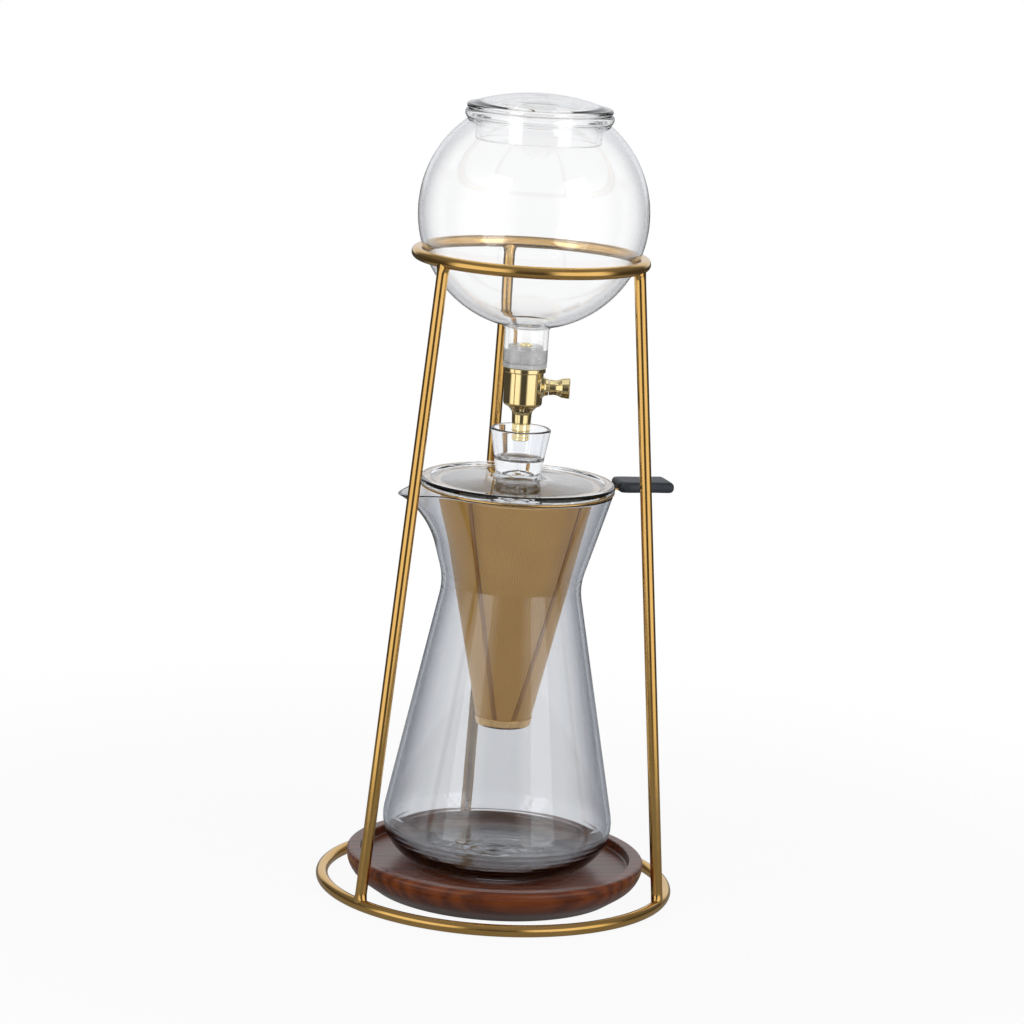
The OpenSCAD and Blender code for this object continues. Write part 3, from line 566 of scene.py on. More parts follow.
@dataclass(frozen=True)
class FineMesh(Finish):
    """Fine etched metal mesh: rows of small holes in a satin sheet, the holes drawn as dots of painted shade.
    """

    label: str
    colour: Colour
    # Painted shade for the dark inside seen through the holes.
    hole_shade: Colour
    pitch: float
    row_share: float = 0.866
    hole_edge: Span = (0.22, 0.34)
    hole_strength: float = 0.6
    hole_depth: float = 0.12
    tone_scale: float = 60.0
    tone_low: float = 0.82
    polish_scale: float = 120.0
    roughness: Span = (0.30, 0.40)
    metallic: float = 0.9

    def shade(self, sheet: NodeSheet, skin: bpy.types.Node) -> None:
        """Draws staggered holes, as dots of painted shade, on the sheet as it was before it was rolled.

        Args:
            sheet: The material's nodes.
            skin: Its Principled shader.
        """
        flat = sheet.add("UVMap", uv_map=MeshCone.UV_NAME).outputs["UV"]
        parts = sheet.add("SeparateXYZ", {"Vector": flat}).outputs
        row = sheet.math("DIVIDE", parts["Y"], self.pitch * self.row_share)
        odd = sheet.math("MULTIPLY", sheet.math("MODULO", sheet.math("FLOOR", row), 2.0), 0.5)
        column = sheet.math("ADD", sheet.math("DIVIDE", parts["X"], self.pitch), odd)
        away = [sheet.math("SUBTRACT", sheet.math("FRACT", part), 0.5) for part in (row, column)]
        square = [sheet.math("MULTIPLY", part, part) for part in away]
        metal = sheet.progress(sheet.math("SQRT", sheet.math("ADD", *square)), self.hole_edge)
        where = self.place(sheet)
        tone = self.effect(sheet, SharedEffect.SMUDGE, where, self.tone_scale, self.tone_low)
        # The holes take the painted hole shade; the random tone leans a little towards it too.
        tinted = sheet.mix(tone, self.hole_shade, self.colour)
        sheet.feed(skin, "Base Color", sheet.mix(metal, self.hole_shade, tinted))
        sheet.feed(skin, "Metallic", self.metallic)
        sheet.feed(skin, "Roughness", self.effect(sheet, SharedEffect.SMUDGE, where, self.polish_scale,
                                                  *self.roughness))
        sheet.relief(skin, metal, self.hole_strength, self.hole_depth)


@dataclass(frozen=True)
class TurnedWalnut(Finish):
    """Oiled walnut, with the grain running across the base and painted shade darkening the foot."""

    label: str
    light: Colour
    middle: Colour
    dark: Colour
    # The foot colour is painted shade for the dish's shaded lower side.
    foot: Colour
    lean: tuple[float, float, float] = (0.0, 0.35, 0.5)
    grain_stretch: tuple[float, float, float] = (0.16, 1.0, 1.0)
    warp_scale: float = 22.0
    warp_share: float = 0.45
    ring_scale: float = 52.0
    ring_distortion: float = 7.0
    fibre_stretch: tuple[float, float, float] = (0.25, 1.0, 1.0)
    fibre_scale: float = 900.0
    fibre_share: float = 0.30
    fibre_strength: float = 0.16
    fibre_depth: float = 0.15
    tone_places: tuple[float, float, float] = (0.25, 0.5, 0.78)
    foot_span: Span = (1.0, 13.0)
    foot_shade_share: float = 0.8
    roughness: Span = (0.22, 0.36)

    def shade(self, sheet: NodeSheet, skin: bpy.types.Node) -> None:
        """Lays growth rings, long fibres and pores along the grain, and paints shade on the foot.

        Args:
            sheet: The material's nodes.
            skin: Its Principled shader.
        """
        where = self.place(sheet)
        along = sheet.add("Mapping", {"Vector": where, "Rotation": self.lean,
                                      "Scale": self.grain_stretch}).outputs["Vector"]
        warp = sheet.add("TexNoise", {"Vector": along, "Scale": self.warp_scale,
                                      "Detail": 3.0}).outputs["Fac"]
        rings = sheet.add("TexWave", {"Vector": along, "Scale": self.ring_scale,
                                      "Distortion": self.ring_distortion, "Detail": 3.0,
                                      "Detail Scale": 1.4, "Detail Roughness": 0.6},
                          wave_type="BANDS", bands_direction="Y").outputs["Fac"]
        drawn_out = sheet.add("Mapping", {"Vector": along, "Scale": self.fibre_stretch}).outputs["Vector"]
        fibre = sheet.add("TexNoise", {"Vector": drawn_out, "Scale": self.fibre_scale, "Detail": 4.0,
                                       "Roughness": 0.6}).outputs["Fac"]
        growth = sheet.mix(self.warp_share, rings, warp, "FLOAT")
        grain = sheet.mix(self.fibre_share, growth, fibre, "FLOAT")
        colour = sheet.ramp(grain, list(zip(self.tone_places, (self.dark, self.middle, self.light))))
        # Painted shade: the colour blends into the foot colour towards the bottom of the dish.
        height = sheet.add("SeparateXYZ", {"Vector": where}).outputs["Z"]
        low, high = self.foot_span
        foot_shade = sheet.add("MapRange", {"Value": height, "From Min": low * MM, "From Max": high * MM,
                                       "To Min": self.foot_shade_share, "To Max": 0.0},
                          interpolation_type="SMOOTHSTEP")
        sheet.feed(skin, "Base Color", sheet.mix(foot_shade.outputs["Result"], colour, self.foot))
        sheet.feed(skin, "Roughness", sheet.spread(fibre, *self.roughness))
        sheet.relief(skin, fibre, self.fibre_strength, self.fibre_depth)


@dataclass(frozen=True)
class MouldedPolymer(Finish):
    """Matt moulded plastic or rubber with a fine spark-eroded texture."""

    label: str
    colour: Colour
    roughness: float
    texture: float
    roughness_span: float = 0.12
    grit_scale: float = 2600.0
    grit_depth: float = 0.04
    wear_scale: float = 70.0
    wear_gain: float = 1.6

    def shade(self, sheet: NodeSheet, skin: bpy.types.Node) -> None:
        """Sets the dark body colour and the fine bump of the mould.

        Args:
            sheet: The material's nodes.
            skin: Its Principled shader.
        """
        where = self.place(sheet)
        grit = sheet.add("TexNoise", {"Vector": where, "Scale": self.grit_scale,
                                      "Detail": 2.0}).outputs["Fac"]
        rubbed = tuple(min(1.0, part * self.wear_gain) for part in self.colour[:3]) + (1.0,)
        wear = self.effect(sheet, SharedEffect.SMUDGE, where, self.wear_scale)
        sheet.feed(skin, "Base Color", sheet.mix(wear, self.colour, rubbed))
        sheet.feed(skin, "Roughness", sheet.spread(grit, self.roughness,
                                                   self.roughness + self.roughness_span))
        sheet.relief(skin, grit, self.texture, self.grit_depth)


STAND_GOLD = PlatedMetal("stand gold", (0.74, 0.46, 0.16, 1), (0.66, 0.40, 0.12, 1), low_roughness=0.14,
                         high_roughness=0.20, lines_per_metre=0.0, line_strength=0.0)
FILTER_GOLD = PlatedMetal("filter gold", (0.78, 0.52, 0.22, 1), (0.66, 0.42, 0.17, 1), low_roughness=0.20,
                          high_roughness=0.30, lines_per_metre=900.0, line_strength=0.12)
SEAM_METAL = PlatedMetal("seam metal", (0.44, 0.22, 0.065, 1), (0.33, 0.16, 0.045, 1), low_roughness=0.35,
                         high_roughness=0.48, lines_per_metre=900.0, line_strength=0.2)
VALVE_BRASS = PlatedMetal("valve brass", (0.92, 0.77, 0.43, 1), (0.86, 0.70, 0.36, 1), low_roughness=0.07,
                          high_roughness=0.12, lines_per_metre=5200.0, line_strength=0.10)
# The mesh hole colours are painted shade.
OUTER_MESH = FineMesh("outer mesh", (0.70, 0.40, 0.10, 1), (0.23, 0.11, 0.025, 1), pitch=0.9)
INNER_MESH = FineMesh("inner mesh", (0.52, 0.35, 0.16, 1), (0.12, 0.08, 0.04, 1), pitch=0.6)
# The glass edge colours below are partly painted shade.
GLOBE_GLASS = ClearGlass("globe glass", (0.99, 0.992, 0.995, 1), (0.36, 0.38, 0.43, 1), edge_start=0.50,
                         edge_end=0.97, shine=0.05)
LID_GLASS = ClearGlass("lid glass", (0.985, 0.987, 0.99, 1), (0.62, 0.64, 0.68, 1), edge_start=0.55,
                       edge_end=1.0, shine=0.08)
JUG_LID_GLASS = ClearGlass("jug lid glass", (0.93, 0.945, 0.97, 1), (0.64, 0.67, 0.73, 1), edge_start=0.55,
                           edge_end=1.0, shine=1.2)
# Painted shade: the jug's grey face colour stands in for grey surroundings seen through the glass, and its
# near-black edge colour for the dark shade seen through its rounded foot.
JUG_GLASS = ClearGlass("jug glass", (0.79, 0.80, 0.82, 1), (0.11, 0.13, 0.18, 1), edge_start=0.36,
                       edge_end=0.82, shine=2.0)
# The walnut's foot colour is painted shade.
WALNUT = TurnedWalnut("oiled walnut", light=(0.215, 0.053, 0.012, 1), middle=(0.15, 0.035, 0.010, 1),
                      dark=(0.092, 0.021, 0.008, 1), foot=(0.032, 0.010, 0.005, 1))
GRIP_BLACK = MouldedPolymer("grip black", (0.022, 0.026, 0.034, 1), roughness=0.40, texture=0.25)
SEAL_BLACK = MouldedPolymer("seal black", (0.016, 0.016, 0.017, 1), roughness=0.45, texture=0.15)
STOPPER_SILICONE = Silicone("stopper silicone", (0.93, 0.94, 0.95, 1), cloud=grey(0.60), clearness=0.35)


def dress(piece: bpy.types.Object, finish: Finish, body: str, node: str) -> None:
    """Gives a new piece its finish and lets it stand for its CAD node.

    Args:
        piece: The finished mesh, at rest.
        finish: Its finish.
        body: The CAD body that it rides on.
        node: The CAD node that it replaces.
    """
    piece.data.materials.append(finish.material())
    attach(piece, body)
    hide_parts(node)
    LOG.info("%s: %d faces on %s", piece.name, len(piece.data.polygons), body)


def dress_node(node: str, finish: Finish) -> None:
    """Gives a CAD node that stays in view its finish.

    Args:
        node: The node's name.
        finish: Its finish.
    """
    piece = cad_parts[node]
    piece.data.materials.clear()
    piece.data.materials.append(finish.material())
    LOG.info("%s: CAD node dressed", node)


# ---------------------------------------------------------------- stand


@dataclass
class WireStand:
    """The brazed wire stand: two rings and three straight legs."""

    ring_wire: float = 6.0
    leg_wire: float = 5.8
    base_radius: float = 87.0
    top_radius: float = 56.0
    braze: float = 0.3
    braze_reach: float = 3.5
    braze_rows: int = 12
    tuck: float = 0.4
    wire_steps: int = 40
    ring_steps: int = 240
    leg_steps: int = 48
    leg_angles: tuple[tuple[str, float], ...] = (("leg_back", 84.7), ("leg_front_left", 204.7),
                                                 ("leg_front_right", 324.7))

    def ring(self, name: str, radius: float, height: float) -> bpy.types.Object:
        """Makes a closed ring of wire.

        Args:
            name: The piece's name.
            radius: The ring's radius, to the middle of its wire.
            height: The height of the wire's middle.

        Returns:
            The ring.
        """
        turns = [math.tau * k / self.wire_steps for k in range(self.wire_steps)]
        wire = [Vector((radius + self.ring_wire / 2 * math.cos(t), height + self.ring_wire / 2 * math.sin(t)))
                for t in turns]
        return turned(name, wire, self.ring_steps, closed=True)

    def leg(self, name: str, angle: float, low_z: float, high_z: float) -> bpy.types.Object:
        """Makes one leg, whose ends swell along the rings into the brazing and end inside their wire.

        Args:
            name: The piece's name.
            angle: Its direction round the stand, in degrees.
            low_z: The middle of the base ring's wire.
            high_z: The middle of the top ring's wire.

        Returns:
            The leg.
        """
        way = Vector((math.cos(math.radians(angle)), math.sin(math.radians(angle)), 0))
        foot = way * self.base_radius + Vector((0, 0, low_z))
        head = way * self.top_radius + Vector((0, 0, high_z))
        length = (head - foot).length
        r = self.leg_wire / 2
        start = self.ring_wire / 2
        swell = [start + self.braze_reach * k / self.braze_rows for k in range(self.braze_rows + 1)]
        near = [start * self.tuck] + swell
        places = near + [length - z for z in reversed(near)]
        half = [Vector((0, places[0])), *(Vector((r, z)) for z in places), Vector((0, places[-1]))]
        bm = spun(half, self.leg_steps)
        turn = Vector((0, 0, 1)).rotation_difference(head - foot).to_matrix().to_4x4()
        tangent = turn.inverted().to_3x3() @ Vector((-way.y, way.x, 0))
        for vert in bm.verts:
            away = min(vert.co.z / MM, length - vert.co.z / MM) - start
            share = min(1.0, max(0.0, 1 - away / self.braze_reach))
            vert.co += tangent * vert.co.dot(tangent) * self.braze * share ** 2
        bmesh.ops.transform(bm, matrix=Matrix.Translation(foot * MM) @ turn, verts=bm.verts)
        return to_object(bm, name)

    def build(self) -> None:
        """Makes and dresses the rings and legs."""
        low_z = sum(heights("base_ring")) / 2
        high_z = sum(heights("top_ring")) / 2
        rings = (("base_ring", self.base_radius, low_z), ("top_ring", self.top_radius, high_z))
        for node, radius, height in rings:
            dress(self.ring(node + "_wire", radius, height), STAND_GOLD, "stand", node)
        for node, angle in self.leg_angles:
            dress(self.leg(node + "_rod", angle, low_z, high_z), STAND_GOLD, "stand", node)


# ---------------------------------------------------------------- wood base


@dataclass
class WoodBase:
    """The turned walnut dish that the jug stands in."""

    radius: float = 75.0
    foot_radius: float = 62.0
    rim_width: float = 7.0
    recess: float = 4.5
    side_height: float = 9.0
    side_rounding: float = 13.0
    edge_rounding: float = 2.2
    recess_draft: float = 0.6
    steps: int = 192

    def build(self) -> None:
        """Makes and dresses the dish."""
        low, high = heights("wood_base")
        floor = high - self.recess
        inner = self.radius - self.rim_width
        half = outline([
            (0, low), (self.foot_radius, low, 2), (self.radius, self.side_height, self.side_rounding),
            (self.radius, high, self.edge_rounding), (inner, high, 1),
            (inner - self.recess_draft, floor, 1.2), (0, floor)])
        dress(turned("wood_base_dish", half, self.steps), WALNUT, "tray", "wood_base")


# ---------------------------------------------------------------- jug


@dataclass
class Jug:
    """The blown glass jug, with its thick rippled bottom and pulled pouring lip."""

    mouth_radius: float = 48.2
    waist_radius: float = 34.15
    waist_height: float = 144.0
    waist_rounding: float = 30.0
    cone_radius: float = 62.4
    foot_rounding: float = 22.0
    wall: float = 2.2
    floor: float = 4.6
    floor_tuck: float = 3.0
    punt: float = 1.6
    punt_radius: float = 26.0
    punt_slope: float = 0.3
    standing_radius: float = 31.0
    floor_crown: float = 0.5
    ripple: float = 0.45
    ripple_pitch: float = 8.5
    ripple_radius: float = 34.0
    ripple_lean: float = 0.35
    ripple_lobes: float = 2.0
    ripple_twist: float = 0.12
    lip_reach: float = 13.4
    lip_drop: float = 3.2
    lip_height: float = 30.0
    lip_curve: float = 1.9
    lip_drop_curve: float = 5.0
    lip_half_width: float = 15.0
    lip_shoulder: float = 2.2
    run: float = 1.6
    steps: int = 224

    def half_outline(self, foot: float, rim: float) -> list[Vector]:
        """Draws the wall from the middle of the foot over the rim to the middle of the floor.

        Args:
            foot: The height that the jug stands at.
            rim: The height of its rim.

        Returns:
            The outline's points.
        """
        waist = foot + self.waist_height
        tilt = math.atan2(self.cone_radius - self.waist_radius, self.waist_height)
        flare = math.atan2(self.mouth_radius - self.waist_radius, rim - waist)
        inner_cone = self.cone_radius - self.wall / math.cos(tilt) - self.floor * math.tan(tilt)
        shift = self.wall * (1 / math.cos(tilt) + 1 / math.cos(flare)) / 2
        inner_mouth = self.mouth_radius - self.wall / math.cos(flare)
        floor = foot + self.floor
        return outline([
            (0, foot + self.punt), (self.punt_radius, foot + self.punt * self.punt_slope, 8),
            (self.standing_radius, foot, 3),
            (self.cone_radius, foot, self.foot_rounding), (self.waist_radius, waist, self.waist_rounding),
            (self.mouth_radius, rim, 0.9), (inner_mouth, rim, 0.9),
            (self.waist_radius - shift, waist, self.waist_rounding + self.wall),
            (inner_cone, floor, self.foot_rounding - self.wall - self.floor_tuck),
            (0, floor + self.punt * self.floor_crown)], run=self.run)

    def ripple_floor(self, bm: bmesh.types.BMesh, floor: float) -> None:
        """Moves the floor's upper face into the rings that hot glass leaves as it settles.

        Args:
            bm: The jug's mesh.
            floor: The height of that face.
        """
        for vert in bm.verts:
            radius = math.hypot(vert.co.x, vert.co.y) / MM
            if radius < self.ripple_radius and abs(vert.co.z / MM - floor) < self.punt:
                fade = 1 - radius / self.ripple_radius
                turn = math.atan2(vert.co.y, vert.co.x)
                lean = 1 + self.ripple_lean * math.sin(turn * self.ripple_lobes + radius * self.ripple_twist)
                vert.co.z += self.ripple * fade * lean * math.cos(math.tau * radius / self.ripple_pitch) * MM

    def pull_lip(self, bm: bmesh.types.BMesh, rim: float) -> None:
        """Draws the rim out towards -X and down, more the nearer it is to the lip's middle.

        Args:
            bm: The jug's mesh.
            rim: The height of its rim.
        """
        start = rim - self.lip_height
        for vert in bm.verts:
            up = (vert.co.z / MM - start) / self.lip_height
            if vert.co.x < 0 and up > 0:
                share = math.exp(-abs(vert.co.y / MM / self.lip_half_width) ** self.lip_shoulder)
                vert.co.x -= self.lip_reach * up ** self.lip_curve * share * MM
                vert.co.z -= self.lip_drop * up ** self.lip_drop_curve * share * MM

    def build(self) -> None:
        """Makes and dresses the jug."""
        foot, rim = heights("jug")
        bm = spun(self.half_outline(foot, rim), self.steps)
        self.ripple_floor(bm, foot + self.floor)
        self.pull_lip(bm, rim)
        dress(to_object(bm, "jug_blown"), JUG_GLASS, "jug", "jug")


# ---------------------------------------------------------------- filter


@dataclass
class MeshCone:
    """One layer of the filter's mesh: a rolled cone that keeps the flat sheet's pattern."""

    name: str
    node: str
    low_radius: float
    high_radius: float
    thickness: float
    finish: FineMesh
    hold: float = 0.1
    steps: int = 180
    UV_NAME: ClassVar[str] = "flat_sheet"
    SEAM_ANGLE: ClassVar[float] = math.radians(218)

    def unroll(self, bm: bmesh.types.BMesh, low_z: float, slope: float) -> None:
        """Writes the flat sheet's millimetres into the piece's UV map.

        Args:
            bm: The cone's mesh.
            low_z: The height of its lower end.
            slope: How much its radius grows with height.
        """
        layer = bm.loops.layers.uv.new(self.UV_NAME)
        apex_z = low_z - self.low_radius / slope
        stretch = math.hypot(1, slope)
        share = slope / stretch
        for face in bm.faces:
            middle = face.calc_center_median()
            middle_turn = math.atan2(middle.y, middle.x)
            for loop in face.loops:
                point = loop.vert.co
                turn = math.atan2(point.y, point.x)
                turn += round((middle_turn - turn) / math.tau) * math.tau
                angle = ((middle_turn - self.SEAM_ANGLE) % math.tau + turn - middle_turn) * share
                reach = (point.z / MM - apex_z) * stretch
                loop[layer].uv = (reach * math.cos(angle), reach * math.sin(angle))

    def build(self) -> None:
        """Makes and dresses the cone."""
        low, high = heights(self.node)
        slope = (self.high_radius - self.low_radius) / (high - low)
        half = outline([
            (self.low_radius - self.thickness, low), (self.low_radius, low), (self.high_radius, high),
            (self.high_radius - self.thickness, high)], closed=True, hold=self.hold)
        bm = spun(half, self.steps, closed=True)
        self.unroll(bm, low, slope)
        dress(to_object(bm, self.name), self.finish, "filter", self.node)


@dataclass
class ConeFilter:
    """The double mesh cone with its stamped rim, end cup, seams and black grip."""

    mouth_radius: float = 39.0
    end_radius: float = 13.0
    cone_height: float = 121.0
    outer_thickness: float = 0.4
    layer_space: float = 0.25
    inner_thickness: float = 0.3
    sheet: float = 0.5
    lap_gap: float = 0.03
    rim_gap: float = 0.4
    collar: float = 3.0
    flange_radius: float = 48.6
    ear_width: float = 10.0
    ear_overlap: float = 4.0
    ear_rounding: float = 1.5
    ear_bevel_steps: int = 5
    ear_end: float = 67.6
    grip_length: float = 28.5
    grip_rounding: float = 2.3
    grip_half_width: float = 10.0
    grip_crown: float = 0.06
    grip_nose_width: float = 0.62
    grip_nose_share: float = 0.25
    grip_waist_depth: float = 0.10
    grip_waist_place: float = 0.52
    grip_waist_spread: float = 0.22
    grip_cuts: tuple[int, int, int] = (59, 43, 13)
    seam_width: float = 2.2
    seam_rise: float = 0.35
    seam_cross: float = 0.325
    seam_runs: tuple[Span, ...] = ((226.0, 4.2), (293.0, -7.6))
    seam_grid: tuple[int, int] = (6, 48)
    rim_steps: int = 180
    cup_steps: int = 120

    def radius_at(self, z: float, top: float) -> float:
        """Returns the outer mesh's radius at a height."""
        return self.mouth_radius - (top - z) * (self.mouth_radius - self.end_radius) / self.cone_height

    def rim(self, low: float, high: float) -> bpy.types.Object:
        """Makes the stamped rim: flange, collar and the ear inside the grip, in one sheet.

        Args:
            low: The collar's lower edge.
            high: The flange's upper face.

        Returns:
            The rim.
        """
        under = low + self.collar
        hole = (self.mouth_radius - self.outer_thickness - self.layer_space - self.inner_thickness
                - self.rim_gap)
        out = self.radius_at(low, under) + self.lap_gap
        ring = turned("rim_ring", outline([
            (hole, under, 0.15), (self.mouth_radius + self.lap_gap, under), (out, low),
            (out + self.sheet, low), (self.mouth_radius + self.sheet, under, 0.4),
            (self.flange_radius, under, 0.3), (self.flange_radius, high, 0.3), (hole, high, 0.3)],
            closed=True), self.rim_steps, closed=True)
        start = self.flange_radius - self.ear_overlap
        middle = Matrix.Translation(((start + self.ear_end) / 2 * MM, 0, (under + high) / 2 * MM))
        size = Matrix.Diagonal(((self.ear_end - start) * MM, self.ear_width * MM, (high - under) * MM, 1))
        bm = bmesh.new()
        bmesh.ops.create_cube(bm, size=1.0, matrix=middle @ size)
        upright = [e for e in bm.edges if abs(e.verts[0].co.z - e.verts[1].co.z) > (high - under) / 2 * MM]
        bmesh.ops.bevel(bm, geom=upright, offset=self.ear_rounding * MM, segments=self.ear_bevel_steps,
                        profile=0.5, affect="EDGES", material=-1)
        return joined("filter_rim_stamped", ring, [(to_object(bm, "rim_ear"), Join.ADDED)])

    def end_cup(self, top: float) -> bpy.types.Object:
        """Makes the pressed cup that closes the cone's end.

        Args:
            top: The height of the cone's mouth.

        Returns:
            The cup.
        """
        low = top - self.cone_height
        high = heights("filter_base")[1]
        low_r = self.end_radius + self.lap_gap + self.sheet
        high_r = self.radius_at(high, top) + self.lap_gap + self.sheet
        return turned("filter_end_cup", outline([
            (0, low), (low_r, low, 1.6), (high_r, high, 0.15), (high_r - self.sheet, high, 0.15),
            (low_r - self.sheet, low + self.sheet, 1.1), (0, low + self.sheet)]), self.cup_steps)

    def seams(self, low: float, high: float, top: float) -> bpy.types.Object:
        """Makes the welded lap strips that stand on the outer mesh.

        Args:
            low: The strips' lower end.
            high: Their upper end.
            top: The height of the cone's mouth.

        Returns:
            Both strips as one piece.
        """
        bm = bmesh.new()
        cross_z = top - self.cone_height * (1 - self.seam_cross)
        for angle, slant in self.seam_runs:
            across, along = self.seam_grid
            strip = bmesh.ops.create_grid(bm, x_segments=across, y_segments=along, size=0.5)["verts"]
            faces = list({face for vert in strip for face in vert.link_faces})
            outer = bmesh.ops.extrude_face_region(bm, geom=faces, use_keep_orig=True)["geom"]
            rise = {vert: self.seam_rise for vert in outer if isinstance(vert, bmesh.types.BMVert)}
            for vert in [*strip, *rise]:
                z = low + (high - low) * (vert.co.y + 0.5)
                side = vert.co.x * self.seam_width - (z - cross_z) * math.tan(math.radians(slant))
                r = self.radius_at(z, top) + self.lap_gap + rise.get(vert, 0.0)
                turn = math.radians(angle) + math.asin(side / r)
                vert.co = Vector((r * math.cos(turn), r * math.sin(turn), z)) * MM
        clean_shell(bm)
        return to_object(bm, "filter_seam_strips")

    def grip(self, low: float, high: float, start: float) -> bpy.types.Object:
        """Makes the waisted grip from a subdivided block with round edges.

        Args:
            low: Its underside.
            high: Its upper side.
            start: Where it begins, from the jug's axis.

        Returns:
            The grip.
        """
        bm = bmesh.new()
        half = Vector((self.grip_length / 2, self.grip_half_width, (high - low) / 2))
        bmesh.ops.create_cube(bm, size=2.0)
        for axis, cuts in enumerate(self.grip_cuts):
            edges = [e for e in bm.edges if abs(e.verts[0].co[axis] - e.verts[1].co[axis]) > 1]
            bmesh.ops.subdivide_edges(bm, edges=edges, cuts=cuts, use_grid_fill=True)
        for vert in bm.verts:
            block = Vector(part * size for part, size in zip(vert.co, half))
            core = Vector(max(self.grip_rounding - size, min(size - self.grip_rounding, part))
                          for part, size in zip(block, half))
            point = core + (block - core).normalized() * self.grip_rounding
            point.y *= self.width_at(point.x / self.grip_length + 0.5)
            point.z *= 1 - self.grip_crown * (point.y / half.y) ** 2
            vert.co = (point + Vector((start + half.x, 0, (low + high) / 2))) * MM
        clean_shell(bm)
        return to_object(bm, "grip_moulded")

    def width_at(self, t: float) -> float:
        """Works out the grip's width at a place along it.

        Args:
            t: The place, as a share of the grip's length.

        Returns:
            The width there, as a share of its full width.
        """
        nose = math.sqrt(max(0.0, 1 - (1 - min(t / self.grip_nose_share, 1.0)) ** 2))
        waist = math.exp(-((t - self.grip_waist_place) / self.grip_waist_spread) ** 2)
        width = self.grip_nose_width + (1 - self.grip_nose_width) * nose
        return width * (1 - self.grip_waist_depth * waist)

    def build(self) -> None:
        """Makes and dresses the filter's pieces."""
        rim_low, rim_high = heights("filter_rim")
        top = rim_low + self.collar
        outer_low, outer_high = heights("filter_outer_mesh")
        inner_in = self.outer_thickness + self.layer_space
        for name, node, inset, thick, finish in (
                ("outer_mesh_cone", "filter_outer_mesh", 0.0, self.outer_thickness, OUTER_MESH),
                ("inner_mesh_cone", "filter_inner_mesh", inner_in, self.inner_thickness, INNER_MESH)):
            MeshCone(name, node, self.radius_at(outer_low, top) - inset,
                     self.radius_at(outer_high, top) - inset, thick, finish).build()
        dress(self.rim(rim_low, rim_high), FILTER_GOLD, "filter", "filter_rim")
        dress(self.end_cup(top), FILTER_GOLD, "filter", "filter_base")
        dress(self.seams(*heights("filter_seams"), top), SEAM_METAL, "filter", "filter_seams")
        grip_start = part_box("handle_grip")[0].x / MM
        dress(self.grip(*heights("handle_grip"), grip_start), GRIP_BLACK, "filter",
              "handle_grip")


# ---------------------------------------------------------------- lids and globe


@dataclass
class JugLid:
    """The jug's pressed glass lid, with the drip cup in one piece with it."""

    radius: float = 48.7
    disc: float = 2.4
    rim_height: float = 3.5
    rim_width: float = 5.0
    rim_slope: float = 1.5
    cup_radius: float = 15.15
    cup_foot_radius: float = 11.25
    cup_wall: float = 1.9
    rise: float = 2.6
    seat: float = 9.0
    root: float = 2.0
    root_flare: float = 1.0
    dome_radius: float = 8.5
    dome_height: float = 7.0
    dome_steps: int = 16
    cup_floor: float = 4.4
    cup_fall: float = 0.5
    hole_radius: float = 1.0
    run: float = 3.0
    steps: int = 160

    def build(self) -> None:
        """Makes and dresses the lid."""
        low, rim = heights("jug_lid")
        under = low + self.rise
        top = under + self.disc
        floor = under + self.dome_height + self.cup_floor
        foot = self.cup_foot_radius
        slope = (self.cup_radius - foot) / (rim - top - self.root)
        inner = foot - self.cup_wall + slope * (floor - top - self.root)
        ball = (self.dome_radius ** 2 + self.dome_height ** 2) / 2 / self.dome_height
        middle = under + self.dome_height - ball
        dome = dome_arc(ball, middle, math.asin(self.hole_radius / ball), math.acos((under - middle) / ball),
                        self.dome_steps)
        inside = self.radius - self.rim_width
        flare = foot + self.root_flare
        half = outline([
            *dome, (self.radius - self.seat, low, 30), (self.radius, low, 1.2),
            (self.radius, low + self.rim_height, 1.6), (inside, low + self.rim_height, 1.6),
            (inside - self.rim_slope, low + self.disc, 2), (self.radius - self.seat, low + self.disc, 7.5),
            (flare + self.rise, top, self.rise), (flare, top, 1), (foot, top + self.root, 2),
            (self.cup_radius, rim, 0.93), (self.cup_radius - self.cup_wall, rim, 0.93),
            (inner, floor - self.cup_fall, 2.4), (self.hole_radius, floor, 0.4)], closed=True, run=self.run)
        lid = turned("jug_lid_pressed", half, self.steps, closed=True)
        dress(lid, JUG_LID_GLASS, "jug_lid", "jug_lid")


